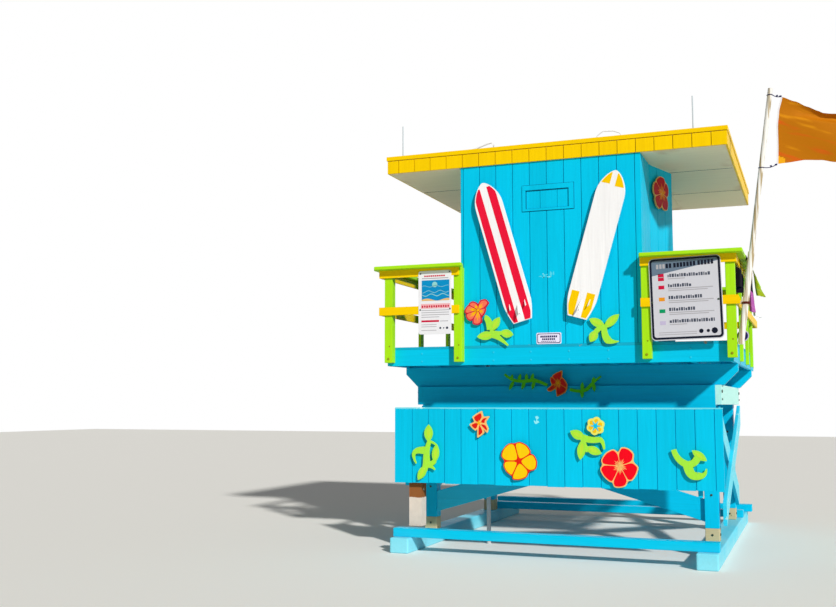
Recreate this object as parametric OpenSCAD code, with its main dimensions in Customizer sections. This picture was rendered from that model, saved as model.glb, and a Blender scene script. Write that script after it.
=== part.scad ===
// Lifeguard tower: a painted timber cabin on a raised deck, on skids.
// Millimetres, +Z up, ground at Z = 0. The rear of the tower, with the
// surfboards on it, faces -Y, and the open front faces +Y.

/* [Base] */
// Distance over the outer faces of the two skids
skid_span = 3282; // [2900:10:3600]
// Width of a skid
skid_w = 205; // [150:5:260]
// Height of a skid
skid_h = 156; // [120:2:220]
// How far the skids run behind the rear wall
skid_back = 318; // [260:2:500]
// Length of a skid
skid_len = 4220; // [3900:10:4800]
// Thickness of the cross beams on the skids
cross_h = 88; // [60:2:120]
// Depth of the cross beams
cross_d = 140; // [100:5:200]
// Side of a square main post
post = 140; // [100:5:180]
// Height of the bare timber foot block under each post
foot_h = 134; // [80:2:180]
// Height of the ring beams' underside
ring_z = 1525; // [1300:5:1800]
// Height of the ring beams
ring_h = 200; // [150:5:240]
// How far the ring beams hang below the side girders
ring_drop = 45; // [0:5:60]
// Thickness of the ring beams
ring_t = 60; // [40:2:90]
// Distance from the rear wall to the ring beams' rear face
ring_y = 478; // [380:2:620]
// Depth over the ring beams
ring_d = 2422; // [2100:10:2600]
// Width of a diagonal brace
brace_w = 216; // [140:4:240]
// Thickness of a diagonal brace
brace_t = 38; // [25:1:50]
// Diameter of the standing pipe behind the rear brace
pipe_d = 46; // [30:2:60]

/* [Deck] */
// Width of the deck
deck_w = 3606; // [3300:10:4000]
// Depth of the deck
deck_d = 3200; // [2900:10:3500]
// Height of the upper cross beams
upper_h = 215; // [160:5:260]
// Thickness of the upper cross beams
upper_t = 90; // [60:2:140]
// Size of the bevel on the upper cross beams' ends
upper_bevel = 140; // [0:5:160]
// Height of the deck's rim and joists
rim_h = 174; // [130:2:220]
// Thickness of the deck's rim and joists
rim_t = 38; // [25:1:50]
// Number of deck joists between the side rims
joist_count = 8; // [4:1:9]
// Thickness of the deck boards
deck_t = 28; // [20:1:40]
// Number of deck boards
deck_boards_n = 22; // [12:1:28]
// Gap between deck boards
deck_gap = 6; // [3:1:12]

/* [Skirt] */
// Width of the board skirt below the deck
skirt_w = 3384; // [3000:10:3600]
// Height of the skirt
skirt_h = 795; // [600:5:815]
// Height of the skirt's lower edge
skirt_z = 701; // [560:1:760]
// Thickness of the skirt's boards
skirt_t = 26; // [18:1:40]
// Distance from the rear wall back to the skirt's outer face
skirt_out = 58; // [40:2:160]

/* [Cabin] */
// Width of the rear wall
cabin_w = 1920; // [1700:10:2200]
// Height of the walls
wall_h = 1920; // [1800:10:2300]
// Thickness of the walls
wall_t = 60; // [45:1:90]
// Depth of each straight part of a side wall
side_straight = 560; // [400:5:700]
// Depth of each flared part of a side wall
side_flare = 530; // [400:5:600]
// How far the side walls flare out
flare_out = 164; // [60:2:200]
// Width of the doorway in the front wall
door_w = 900; // [700:10:1200]
// Height of the doorway
door_h = 1760; // [1600:10:1840]
// Width of the hatch frame in the rear wall
hatch_w = 552; // [400:2:700]
// Height of the hatch frame
hatch_h = 278; // [240:2:400]
// Height of the hatch's underside above the deck
hatch_z = 1392; // [1100:2:1450]
// Width of the hatch frame's left member
hatch_rim = 38; // [25:1:60]
// Width of the hatch frame's top and right members
hatch_head = 54; // [25:1:80]
// Width of the hatch frame's bottom member
hatch_foot = 26; // [16:1:60]

/* [Roof] */
// Width of the roof over its edge boards
roof_w = 3610; // [3300:10:4000]
// Depth of the roof over its edge boards
roof_d = 3312; // [3100:10:3600]
// How far the roof passes the rear wall
roof_back = 20; // [0:2:120]
// Height of the roof's edge boards
fascia_h = 144; // [100:2:180]
// Height of the trim on top of the edge boards
trim_h = 45; // [30:1:60]
// How far the trim stands out from the edge boards
trim_lip = 8; // [0:1:20]
// Thickness of the edge boards
fascia_t = 19; // [12:1:30]
// Thickness of the ceiling sheet
soffit_t = 12; // [9:1:18]
// Length of the whip rods on the roof
whip_len = 350; // [200:10:500]

/* [Railing] */
// Height of the railing above the deck
rail_h = 870; // [800:5:1000]
// Side of a square railing post
rail_post = 89; // [70:1:110]
// Thickness of the top cap
cap_t = 38; // [25:1:50]
// Width of the top cap
cap_w = 140; // [100:5:180]
// Height of the apron board below the cap
apron_h = 84; // [60:1:120]
// Height of the middle rail board
mid_h = 88; // [60:1:120]
// Height of the middle rail's underside above the deck
mid_z = 342; // [250:5:450]
// How far the middle rail runs past the right rear corner
mid_past = 26; // [0:1:40]
// Thickness of the railing boards
board_t = 22; // [16:1:32]
// Thickness of the upright stanchions along the sides
picket_t = 35; // [25:1:50]
// Width of the gap in the front railing
ramp_gap = 1000; // [800:10:1300]

/* [Signs and boards] */
// Length of the leaning surfboards
surf_len = 1540; // [1300:10:1640]
// Width of the surfboards
surf_w = 302; // [220:2:340]
// Thickness of the flat surfboards
surf_t = 20; // [12:1:30]
// Lean of the surfboards in degrees
surf_lean = 16; // [8:0.5:20]
// Width of the large sign on the right railing
sign_w = 684; // [500:4:720]
// Height of the large sign
sign_h = 808; // [600:4:840]
// Thickness of the signs
sign_t = 6; // [3:1:12]
// Thickness of the flat ornaments
cut_t = 14; // [8:1:20]
// Distance of the ornaments from the boards behind them
cut_off = 22; // [10:1:40]

/* [Flag] */
// Diameter of the flagpole
pole_d = 46; // [36:2:62]
// Diameter of the sleeve around the pole's foot
sleeve_d = 62; // [56:2:90]
// Lean of the flagpole in degrees
pole_lean = 8; // [0:0.5:10]
// Height of the flagpole's top above the deck
pole_top = 2420; // [2200:10:2800]
// Height of the flag along its hoist
flag_h = 720; // [500:10:900]
// Length of the flag from hoist to fly end
flag_l = 1050; // [700:10:1300]

/* [Hidden] */
$fn = 48;

turquoise = [0.0, 0.75, 0.9];
yellow = [1.0, 0.82, 0.0];
lime = [0.62, 0.9, 0.14];
bare = [0.8, 0.63, 0.47];

deck_z = ring_z + ring_h + upper_h + rim_h + deck_t;
rim_z = deck_z - deck_t - rim_h;
wall_top = deck_z + wall_h;
roof_top = wall_top + fascia_h + trim_h;
rail_top = deck_z + rail_h;
half = deck_w / 2;
wall_x = cabin_w / 2;
skid_in = skid_span / 2 - skid_w;
post_out = skid_span / 2 - ring_t - 3;
post_y = [ring_y + ring_t, ring_y + ring_d - ring_t - post];
cabin_d = 2 * (side_straight + side_flare);
skid_front = skid_len - skid_back;
roof_front = roof_d - roof_back;
cap_over = 117;
under_cap = rail_top - cap_t;
post_z = rim_z + 34;
gate = ramp_gap / 2;
side_x = half + picket_t;
sleeve_x = half + rail_post - 50 + sleeve_d / 2 + 1;
sleeve_y = -45;
pole_foot = 42;
pole_tip_x = sleeve_x + (pole_top + pole_foot) * tan(pole_lean);
flag_x = pole_tip_x + 62;
flag_top = pole_top - 60;
reach_left = half + cap_over;
reach_right = flag_x + flag_l;
mid_x = (reach_right - reach_left) / 2;
mid_y = (skid_front - skid_back) / 2;
skirt_in = skirt_t - skirt_out;
gap = 2;

// Moves a shape from the tower's own centre line to the middle of the footprint
module at_frame() translate([-mid_x, -mid_y, 0]) children();

// A block between two corners
module block(lo, hi) translate(lo) cube(hi - lo);

// An upright plate in the X-Z plane, from its outline, between two depths
module plate_xz(y0, y1) translate([0, y1, 0]) rotate([90, 0, 0]) linear_extrude(y1 - y0) children();

// An upright plate in the Y-Z plane, from its outline, between two widths
module plate_yz(x0, x1) translate([x0, 0, 0]) rotate([90, 0, 90]) linear_extrude(x1 - x0) children();

// The outline of a straight board between two points, cut upright at its ends
module slant(a0, z0, a1, z1, w) {
    rise = w * sqrt(pow(a1 - a0, 2) + pow(z1 - z0, 2)) / (a1 - a0) / 2;
    polygon([[a0, z0 - rise], [a1, z1 - rise], [a1, z1 + rise], [a0, z0 + rise]]);
}

// Base

module skids() color(turquoise) at_frame()
    for (x = [-skid_span / 2, skid_in])
        block([x, -skid_back, 0], [x + skid_w, skid_front, skid_h]);

module cross(y0, over) {
    x = skid_span / 2 + over;
    block([-x, y0, skid_h], [x, y0 + cross_d, skid_h + cross_h]);
}

module cross_beams() color(turquoise) at_frame() {
    cross(98 - skid_back, 3);
    cross(ring_y + ring_d + 60, 3);
    cross(skid_front - cross_d - 60, 60);
}

// The four posts' places, with the underside and top of each piece
module at_posts(z0, z1)
    for (x = [-post_out, post_out - post], y = post_y)
        block([x, y, z0], [x + post, y + post, z1]);

module main_posts() color(turquoise) at_frame() at_posts(skid_h + foot_h, ring_z + ring_h);

module post_feet() color(bare) at_frame() at_posts(skid_h, skid_h + foot_h);

prop_x = -skirt_w / 2 + post;

module skirt_prop() color(bare) at_frame()
    block([prop_x, skirt_in + 38, skid_h + cross_h],
          [prop_x + post, skirt_in + 38 + post, skirt_z + skirt_h - 60]);

module skirt_panel() color(turquoise) at_frame()
    block([-skirt_w / 2, -skirt_out, skirt_z], [skirt_w / 2, skirt_in, skirt_z + skirt_h]);

module skirt_rails() color(turquoise) at_frame()
    for (z = [skirt_z + 60, skirt_z + skirt_h - 149])
        block([60 - skirt_w / 2, skirt_in, z], [skirt_w / 2 - 60, skirt_in + 38, z + 89]);

hanger_x = [-skirt_w / 2 + 96, skirt_w / 2 - 255];

module skirt_hangers() color(turquoise) at_frame()
    for (i = [0, 1])
        block([hanger_x[i], skirt_in + 38, skirt_z - [32, 67][i]],
              [hanger_x[i] + 44, skirt_in + 76, skirt_z + skirt_h - 30]);

module skirt_arms() color(turquoise) at_frame()
    for (i = [0, 1])
        block([hanger_x[i] + [3, 3][i], skirt_in + 76, skirt_z + skirt_h - 149],
              [hanger_x[i] + 41, ring_y + ring_t, skirt_z + skirt_h - 60]);

// A board of the rear cross, leaning up to the right (1) or to the left (-1)
module rear_board(y, up) {
    x = post_out - post;
    low = skid_h + foot_h + 170;
    high = ring_z - 225;
    plate_xz(y, y + brace_t) slant(-x, up > 0 ? low : high, x, up > 0 ? high : low, brace_w);
}

// A board of each side cross, leaning up to the front (1) or to the rear (-1)
module side_boards(x, up) {
    y0 = post_y[0] + 10;
    y1 = post_y[1] + post - 10;
    low = skid_h + foot_h + 145;
    high = ring_z - 128;
    for (s = [0, 1]) mirror([s, 0, 0])
        plate_yz(x, x + brace_t) slant(y0, up > 0 ? low : high, y1, up > 0 ? high : low, brace_w);
}

brace_y = ring_y + ring_t + 10;

module inner_braces() color(turquoise) at_frame() {
    rear_board(brace_y + brace_t, -1);
    side_boards(post_out, -1);
}

module outer_braces() color(turquoise) at_frame() {
    rear_board(brace_y, 1);
    side_boards(post_out + brace_t, 1);
}

module ring_beams() color(turquoise) at_frame()
    for (y = [ring_y, ring_y + ring_d - ring_t])
        block([-post_out, y, ring_z - ring_drop], [post_out, y + ring_t, ring_z + ring_h]);

module side_girders() color(turquoise) at_frame()
    for (x = [-post_out - ring_t, post_out])
        block([x, ring_y, ring_z], [x + ring_t, ring_y + ring_d, ring_z + ring_h]);

module upper_beams() color(turquoise) at_frame() {
    z0 = ring_z + ring_h;
    for (y = [ring_y + ring_t, ring_y + ring_d - ring_t - upper_t])
        plate_xz(y, y + upper_t)
            polygon([[-half, z0 + upper_h], [-half, z0 + upper_bevel], [upper_bevel - half, z0],
                     [half - upper_bevel, z0], [half, z0 + upper_bevel], [half, z0 + upper_h]]);
}

module stand_pipe() color([0.75, 0.77, 0.78]) at_frame()
    translate([-896, ring_y + ring_t + post + 60, 0]) cylinder(d = pipe_d, h = deck_z - deck_t);

// Deck

module deck_joists() color(turquoise) at_frame()
    for (i = [1:joist_count]) {
        x = -half + i * deck_w / (joist_count + 1);
        block([x - rim_t / 2, rim_t, rim_z], [x + rim_t / 2, deck_d - rim_t, rim_z + rim_h]);
    }

// The rim is one board behind, one along each side, and three in front
module deck_rim() color(turquoise) at_frame() {
    f = deck_d - rim_t;
    block([-half, 0, rim_z], [half, rim_t, rim_z + rim_h]);
    for (x = [-half, half - rim_t])
        block([x, rim_t + 1, rim_z], [x + rim_t, f - 1, rim_z + rim_h]);
    for (x = [[-half, -gate - 1], [-gate + 1, gate - 1], [gate + 1, half]])
        block([x[0], f, rim_z], [x[1], deck_d, rim_z + rim_h]);
}

module deck_boards() color(turquoise) at_frame() {
    pitch = (deck_d + deck_gap) / deck_boards_n;
    for (i = [0:deck_boards_n - 1])
        block([-half, i * pitch, deck_z - deck_t], [half, (i + 1) * pitch - deck_gap, deck_z]);
}

// Cabin

module rear_wall() color(turquoise) at_frame() difference() {
    block([-wall_x, 0, deck_z], [wall_x, wall_t, wall_top]);
    block([-hatch_w / 2, -1, deck_z + hatch_z], [hatch_w / 2, wall_t + 1, deck_z + hatch_z + hatch_h]);
}

// The outline of a bent side wall, seen from above
module side_outline() {
    y0 = wall_t;
    y1 = side_straight;
    y2 = side_straight + side_flare;
    y3 = y2 + side_flare;
    y4 = cabin_d - wall_t;
    x = wall_x;
    o = x + flare_out;
    t = wall_t;
    polygon([[x - t, y0], [x, y0], [x, y1], [o, y2], [x, y3], [x, y4],
             [x - t, y4], [x - t, y3], [o - t, y2], [x - t, y1]]);
}

module side_walls() color(turquoise) at_frame() translate([0, 0, deck_z]) {
    linear_extrude(wall_h) side_outline();
    mirror([1, 0, 0]) linear_extrude(wall_h) side_outline();
}

module front_wall() color(turquoise) at_frame() difference() {
    block([-wall_x, cabin_d - wall_t, deck_z], [wall_x, cabin_d, wall_top]);
    block([-door_w / 2, cabin_d - wall_t - 1, deck_z - 1], [door_w / 2, cabin_d + 1, deck_z + door_h]);
}

module hatch() color(turquoise) at_frame() translate([0, 0, deck_z + hatch_z]) difference() {
    block([-hatch_w / 2, 0, 0], [hatch_w / 2, 36, hatch_h]);
    block([hatch_rim - hatch_w / 2, -1, hatch_foot], [hatch_w / 2 - hatch_head, 8, hatch_h - hatch_head]);
}

// Roof

module roof_frame() color(bare) at_frame() {
    z0 = wall_top + soffit_t;
    z1 = roof_top - trim_h - 12;
    n = 7;
    for (i = [0:n - 1]) {
        x = -roof_w / 2 + fascia_t + 19 + i * (roof_w - 2 * fascia_t - 38) / (n - 1);
        block([x - 19, fascia_t - roof_back, z0], [x + 19, roof_front - fascia_t, z1]);
    }
}

// A sheet that fills the roof's edge boards, between two heights
module roof_fill(z0, z1)
    block([fascia_t - roof_w / 2, fascia_t - roof_back, z0],
          [roof_w / 2 - fascia_t, roof_front - fascia_t, z1]);

module roof_sheets() color("white") at_frame() {
    roof_fill(wall_top, wall_top + soffit_t);
    roof_fill(roof_top - trim_h - 12, roof_top - trim_h);
}

// A rectangular ring around the roof's edge, that stands out by a lip
module roof_ring(t, lip, z0, z1) difference() {
    block([-roof_w / 2 - lip, -roof_back - lip, z0], [roof_w / 2 + lip, roof_front + lip, z1]);
    block([t - roof_w / 2, t - roof_back, z0 - 1], [roof_w / 2 - t, roof_front - t, z1 + 1]);
}

module fascia() color(yellow) at_frame() roof_ring(fascia_t, 0, wall_top, roof_top - trim_h);

module roof_trim() color(yellow) at_frame() roof_ring(fascia_t + 11, trim_lip, roof_top - trim_h, roof_top);

module whip_rods() color("white") at_frame()
    for (x = [158 - roof_w / 2, roof_w / 2 - 327])
        translate([x, fascia_t + 52 - roof_back, roof_top - trim_h]) cylinder(d = 14, h = whip_len + trim_h);

// Railing

module rail_posts() color(lime) at_frame() {
    p = rail_post;
    for (x = [-half, -wall_x - 50, wall_x - 10, half - 50])
        block([x, -p, post_z], [x + p, 0, under_cap]);
    for (x = [-half, -gate - p, gate, half - p])
        block([x, deck_d, post_z], [x + p, deck_d + p, under_cap]);
}

left_y = [0.315, 0.612];
right_y = [0.26, 0.55, 0.8];

module stanchion(x, y) block([x, y, rim_z + 30], [x + picket_t, y + 89, under_cap]);

module stanchions() color(lime) at_frame() {
    for (k = left_y) stanchion(-side_x, k * deck_d);
    for (k = right_y) stanchion(half, k * deck_d);
}

module rail_caps() color(lime) at_frame() {
    y0 = -rail_post - board_t - 8;
    y1 = y0 + cap_w;
    y2 = deck_d + rail_post + board_t + 8;
    e = half + cap_over;
    for (s = [-1, 1]) {
        inner = s > 0 ? wall_x - 22 : wall_x - 26;
        block([min(s * inner, s * e), y0, under_cap], [max(s * inner, s * e), y1, rail_top]);
        block([min(s * e, s * (e - cap_w)), y1 + gap, under_cap],
              [max(s * e, s * (e - cap_w)), y2 - cap_w - gap, rail_top]);
        block([min(s * gate, s * e), y2 - cap_w, under_cap], [max(s * gate, s * e), y2, rail_top]);
    }
}

// One height of railing boards, on the rear, the sides and the front. The right
// rear board may run past the corner, with its top corner cut off
module boards(z0, z1, past) {
    y0 = -rail_post;
    y2 = deck_d + rail_post;
    e = side_x + board_t;
    cut = min(past * 1.4, z1 - z0);
    block([-e, y0 - board_t, z0], [14 - wall_x, y0, z1]);
    plate_xz(y0 - board_t, y0)
        polygon([[wall_x - 14, z0], [e + past, z0], [e + past, z1 - cut], [e + past - cut / 2, z1], [wall_x - 14, z1]]);
    for (s = [-1, 1]) {
        block([min(s * side_x, s * e), y0 + gap, z0], [max(s * side_x, s * e), y2 - gap, z1]);
        block([min(s * gate, s * e), y2, z0], [max(s * gate, s * e), y2 + board_t, z1]);
    }
}

module rail_aprons() color(yellow) at_frame() boards(under_cap - apron_h, under_cap, 0);

module mid_rails() color(yellow) at_frame() boards(deck_z + mid_z, deck_z + mid_z + mid_h, mid_past);

// Signs and surfboards

sign_face = -rail_post - board_t;

module warning_sign() color("white") at_frame()
    translate([half - 420, sign_face, deck_z + sign_h / 2 + 8]) rotate([90, -1.3, 0])
        linear_extrude(sign_t) square([sign_w, sign_h], center = true);

module safety_sign() color("white") at_frame()
    block([404 - half, sign_face - sign_t, deck_z + 126], [776 - half, sign_face, deck_z + 805]);

// Half the width of a surfboard at a share t of its length from the nose
function board_half(t) = surf_w / 2
    * (t < 0.17 ? pow(sin(t / 0.17 * 90), 0.62) : t < 0.86 ? 1 : 1 - 0.34 * pow((t - 0.86) / 0.14, 1.5));

// The outline of a surfboard, nose up, with a square tail
module surf_outline() {
    nose = [for (i = [0:12]) 0.17 * pow(i / 12, 2)];
    tail = [for (i = [0:6]) 0.86 + 0.14 * i / 6];
    at = concat(nose, tail);
    n = len(at) - 1;
    right = [for (i = [0:n]) [board_half(at[i]), surf_len * (0.5 - at[i])]];
    left = [for (i = [n:-1:1]) [-board_half(at[i]), surf_len * (0.5 - at[i])]];
    polygon(concat(right, left));
}

surf_off = 45;
surf_at = [[-wall_x / 2, deck_z + wall_h / 2 + 21, surf_lean],
           [wall_x / 2 + 33, deck_z + wall_h / 2 + 41, -surf_lean]];

module surfboard(s)
    plate_xz(-surf_off - surf_t, -surf_off) translate([s[0], s[1]]) rotate(s[2]) surf_outline();

module striped_board() color("red") at_frame() surfboard(surf_at[0]);

module white_board() color("white") at_frame() surfboard(surf_at[1]);

// Ornaments

// The flowers, by their petals, counter-clockwise from the right. Each petal has
// its first corner's angle and reach, its reach between the corners, its last
// corner's angle and reach, and the reach of the notch after it
star_flower = [
    [-50, 133, 126, -28, 117, 81], [12, 78, 101, 32, 137, 79], [76, 133, 100, 141, 98, 51],
    [188, 110, 92, 245, 89, 64], [262, 156, 130, 301, 114, 75]
];
gold_flower = [
    [-26, 195, 191, 22, 170, 138], [41, 162, 183, 89, 196, 181], [120, 207, 208, 167, 200, 149],
    [195, 175, 178, 238, 174, 166], [250, 205, 191, 297, 183, 143]
];
hibiscus = [
    [-50, 185, 179, -2, 184, 131], [40, 185, 194, 86, 189, 127], [110, 179, 190, 164, 198, 172],
    [190, 206, 197, 236, 190, 178], [253, 219, 213, 285, 204, 162]
];
small_flower = [for (k = [0:5]) [60 * k, 86, 95, 60 * k + 38, 86, 76]];
wall_bloom = [
    [-50, 85, 84, 2, 88, 84], [29, 144, 144, 78, 107, 58], [101, 82, 116, 143, 125, 119],
    [159, 131, 146, 188, 154, 137], [203, 151, 153, 232, 147, 121], [247, 159, 160, 287, 144, 82]
];
beam_bloom = [
    [-12, 104, 83, 42, 77, 76], [70, 146, 111, 126, 103, 91], [142, 105, 88, 188, 74, 73],
    [208, 140, 140, 229, 120, 64], [263, 147, 129, 308, 128, 113]
];
side_bloom = [
    [-2, 144, 171, 46, 172, 154], [75, 184, 192, 137, 196, 185], [151, 207, 228, 188, 215, 182],
    [205, 212, 218, 246, 205, 143], [279, 183, 208, 330, 162, 110]
];

function polar(a, r) = r * [cos(a), sin(a)];

// The corners of a flower's outline
function petal_corners(f) = [
    for (i = [0:len(f) - 1])
        let (p = f[i], after = i + 1 < len(f) ? f[i + 1][0] : f[0][0] + 360)
            each [polar(p[0], p[1]), polar((p[0] + p[3]) / 2, p[2]), polar(p[3], p[4]),
                  polar((p[3] + after) / 2, p[5])]
];

// Rounds each corner of an outline by the share s of its sides
function rounded(o, s) = [
    for (i = [0:len(o) - 1])
        let (p = o[i], a = p + s * (o[(i + len(o) - 1) % len(o)] - p), b = p + s * (o[(i + 1) % len(o)] - p))
            each [a, (a + 2 * p + b) / 4, b]
];

module blossom(f, s) polygon(rounded(petal_corners(f), s));

// A pointed leaf from one point to another, with half width w
module leaf(p, q, w) {
    n = 7;
    d = q - p;
    u = [-d[1], d[0]] / norm(d);
    polygon(concat([for (i = [0:n]) p + d * i / n + u * w * pow(sin(180 * i / n), 0.8)],
                   [for (i = [n - 1:-1:1]) p + d * i / n - u * w * pow(sin(180 * i / n), 0.8)]));
}

function bend(p, c, q, t) = (1 - t) * (1 - t) * p + 2 * t * (1 - t) * c + t * t * q;
function bend_dir(p, c, q, t) = let (d = (1 - t) * (c - p) + t * (q - c)) [-d[1], d[0]] / norm(d);

// A curved stem from p to q, drawn towards c, with half widths w0 and w1
module stem(p, c, q, w0, w1) {
    n = 8;
    side = function (t, s) bend(p, c, q, t) + s * bend_dir(p, c, q, t) * (w0 + (w1 - w0) * t);
    polygon(concat([for (i = [0:n]) side(i / n, 1)], [for (i = [n:-1:0]) side(i / n, -1)]));
}

// Puts a flat ornament, drawn in the X-Z plane, in front of a face at depth y
module cutout(y) plate_xz(y - cut_off - cut_t, y - cut_off) children();

// A flower f at a place, on a face at depth y
module bloom(x, z, f, s, y) cutout(y) translate([x, z]) blossom(f, s);

flare_turn = atan(flare_out / side_flare);

// The foot of the flared part of the right side wall's outer face, at its middle
module at_flare() translate([wall_x + flare_out / 2, side_straight + side_flare / 2, deck_z])
    rotate([0, 0, 90 - flare_turn]) children();

module flowers() color("red") at_frame() {
    translate([0, 0, skirt_z]) {
        bloom(-735, 635, star_flower, 0.2, -skirt_out);
        bloom(-311, 255, gold_flower, 0.36, -skirt_out);
        bloom(477, 614, small_flower, 0.36, -skirt_out);
        bloom(712, 227, hibiscus, 0.36, -skirt_out);
    }
    bloom(-757, deck_z + 374, wall_bloom, 0.3, 0);
    bloom(-25, ring_z + 229, beam_bloom, 0.2, ring_y);
    at_flare() bloom(-37, 1639, side_bloom, 0.36, 0);
}

// A round spacer behind an ornament or a board
module peg(x, y, z, d, l) translate([x, y, z]) rotate([90, 0, 0]) cylinder(d = d, h = l);

skirt_pegs = [[-735, 635], [-311, 255], [477, 614], [712, 227], [-1315, 290], [366, 485], [1360, 235]];
wall_pegs = [[-757, 374], [-610, 120], [572, 140]];
beam_pegs = [[-25, 163], [212, 146]];
vine_pegs = [[-480, 256], [-262, 258], [380, 254]];

module pegs() color(turquoise) at_frame() {
    for (p = skirt_pegs) peg(p[0], -skirt_out, skirt_z + p[1], 24, cut_off);
    for (p = wall_pegs) peg(p[0], 0, deck_z + p[1], 24, cut_off);
    for (p = beam_pegs) peg(p[0], ring_y, ring_z + p[1], 20, cut_off);
    for (p = vine_pegs) peg(p[0], ring_y + ring_t, ring_z + p[1], 20, cut_off + ring_t);
    at_flare() peg(-37, 0, 1639, 24, cut_off);
    for (s = surf_at, k = [-1, 1] * 0.22 * surf_len)
        peg(s[0] - k * sin(s[2]), 0, s[1] + k * cos(s[2]), 60, surf_off);
}

module leaves() color(lime) at_frame() {
    translate([0, 0, skirt_z]) {
        cutout(-skirt_out) {
            leaf([-1297, 432], [-1294, 616], 48);
            stem([-1282, 450], [-1325, 350], [-1318, 240], 20, 38);
            stem([-1318, 250], [-1320, 190], [-1348, 130], 38, 30);
            leaf([-1320, 195], [-1415, 34], 42);
            stem([-1300, 340], [-1535, 378], [-1435, 206], 44, 6);
            stem([-1292, 438], [-1250, 436], [-1210, 404], 16, 8);
            leaf([-1228, 218], [-1205, 412], 40);
            stem([-1325, 205], [-1262, 190], [-1226, 240], 30, 24);
            stem([-1310, 192], [-1262, 186], [-1224, 145], 28, 6);
        }
        cutout(-skirt_out) {
            leaf([220, 562], [368, 488], 46);
            stem([345, 498], [430, 464], [515, 482], 34, 28);
            stem([510, 482], [552, 474], [558, 386], 28, 9);
            leaf([348, 480], [316, 277], 43);
            stem([352, 480], [348, 400], [400, 375], 26, 26);
            leaf([372, 402], [532, 342], 42);
        }
        cutout(-skirt_out) {
            stem([1228, 394], [1255, 290], [1345, 256], 24, 34);
            stem([1330, 254], [1425, 246], [1450, 322], 32, 34);
            leaf([1399, 390], [1536, 290], 36);
            stem([1358, 256], [1368, 130], [1452, 148], 46, 36);
            stem([1448, 148], [1522, 140], [1530, 218], 37, 5);
        }
    }
    translate([0, 0, deck_z]) {
        cutout(0) {
            stem([-686, 297], [-640, 285], [-622, 165], 24, 40);
            leaf([-618, 150], [-522, 293], 42);
            leaf([-575, 112], [-772, 92], 46);
            stem([-634, 124], [-560, 112], [-433, -6], 48, 8);
            stem([-615, 125], [-550, 118], [-498, 128], 34, 18);
            leaf([-520, 134], [-376, 104], 44);
        }
        cutout(0) {
            leaf([418, 246], [576, 164], 42);
            leaf([720, 284], [568, 150], 42);
            stem([575, 160], [500, 156], [468, 84], 24, 26);
            leaf([494, 130], [424, 11], 44);
            stem([570, 168], [562, 70], [606, 26], 26, 38);
            stem([602, 28], [642, 2], [712, 12], 38, 5);
        }
    }
}

module vine() color(lime) at_frame() translate([0, 0, ring_z]) cutout(ring_y) {
    stem([-615, 328], [-500, 215], [-298, 265], 12, 21);
    stem([-304, 265], [-230, 250], [-142, 206], 21, 15);
    for (x = [[-543, -528], [-459, -436], [-375, -368], [-318, -296]])
        leaf([x[0], 252], [x[1], 348 + x[0] / 25], 18);
    for (x = [[-510, -566], [-386, -426], [-282, -310]])
        leaf([x[0], 264], [x[1], 168 + x[0] / 40], 19);
    stem([100, 160], [250, 118], [302, 178], 16, 19);
    stem([296, 172], [350, 240], [434, 296], 19, 9);
    leaf([231, 138], [236, 239], 19);
    leaf([230, 164], [230, 68], 19);
    leaf([350, 238], [363, 135], 19);
    leaf([344, 213], [361, 292], 19);
}

// Flagpole and flag

module leaning() translate([sleeve_x, sleeve_y, deck_z - pole_foot]) rotate([0, pole_lean, 0]) children();

// The sleeve stands on a block that is fixed to the middle rail
module pole_sleeve() color("white") at_frame() difference() {
    union() {
        leaning() cylinder(d = sleeve_d, h = 890);
        block([side_x + board_t, sleeve_y - 16, deck_z + mid_z + 4],
              [sleeve_x + 58, sleeve_y + 16, deck_z + mid_z + 30]);
    }
    leaning() translate([0, 0, -1]) cylinder(d = pole_d, h = 892);
}

module flagpole() color("white") at_frame() leaning()
    cylinder(d = pole_d, h = (pole_top + pole_foot) / cos(pole_lean));

// The two short ties lie between the pole and the flag's hoist edge
module flag_ties() color("white") at_frame()
    for (z = [flag_top - 30, flag_top - flag_h + 30]) {
        x0 = sleeve_x + (z + pole_foot + 4) * tan(pole_lean) + pole_d / 2 / cos(pole_lean) + 0.1;
        translate([x0, sleeve_y, deck_z + z]) rotate([0, 90, 0]) cylinder(d = 8, h = flag_x - x0);
    }

module flag() color([0.9, 0.5, 0.0]) at_frame()
    block([flag_x, sleeve_y - 3, deck_z + flag_top - flag_h],
          [flag_x + flag_l, sleeve_y + 3, deck_z + flag_top]);

module spare_flags() color([0.85, 0.8, 0.9]) at_frame()
    block([half + cap_over, 420, rail_top - 500], [half + cap_over + 12, 1420, rail_top - 4]);

skids();
cross_beams();
main_posts();
post_feet();
skirt_prop();
skirt_rails();
skirt_hangers();
skirt_arms();
inner_braces();
outer_braces();
ring_beams();
side_girders();
upper_beams();
stand_pipe();
deck_joists();
deck_rim();
deck_boards();
skirt_panel();
rear_wall();
side_walls();
front_wall();
hatch();
roof_frame();
roof_sheets();
fascia();
roof_trim();
whip_rods();
rail_posts();
stanchions();
rail_caps();
rail_aprons();
mid_rails();
warning_sign();
safety_sign();
striped_board();
white_board();
pegs();
flowers();
leaves();
vine();
pole_sleeve();
flagpole();
flag_ties();
flag();
spare_flags();
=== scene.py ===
# %% [markdown]
# # A painted lifeguard tower
# The tower is a timber cabin on a raised deck, on posts, beams and two skids.
# Its solids come from the CAD model and are already in place. Each cell here
# dresses one part of it: bevels and paint on the beams, real boards on the
# walls, painted flowers, signs, and a flag of cloth.

# %% Load the frame
from math import atan2, cos, degrees, dist, pi, radians, sin, tan, tau

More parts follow.
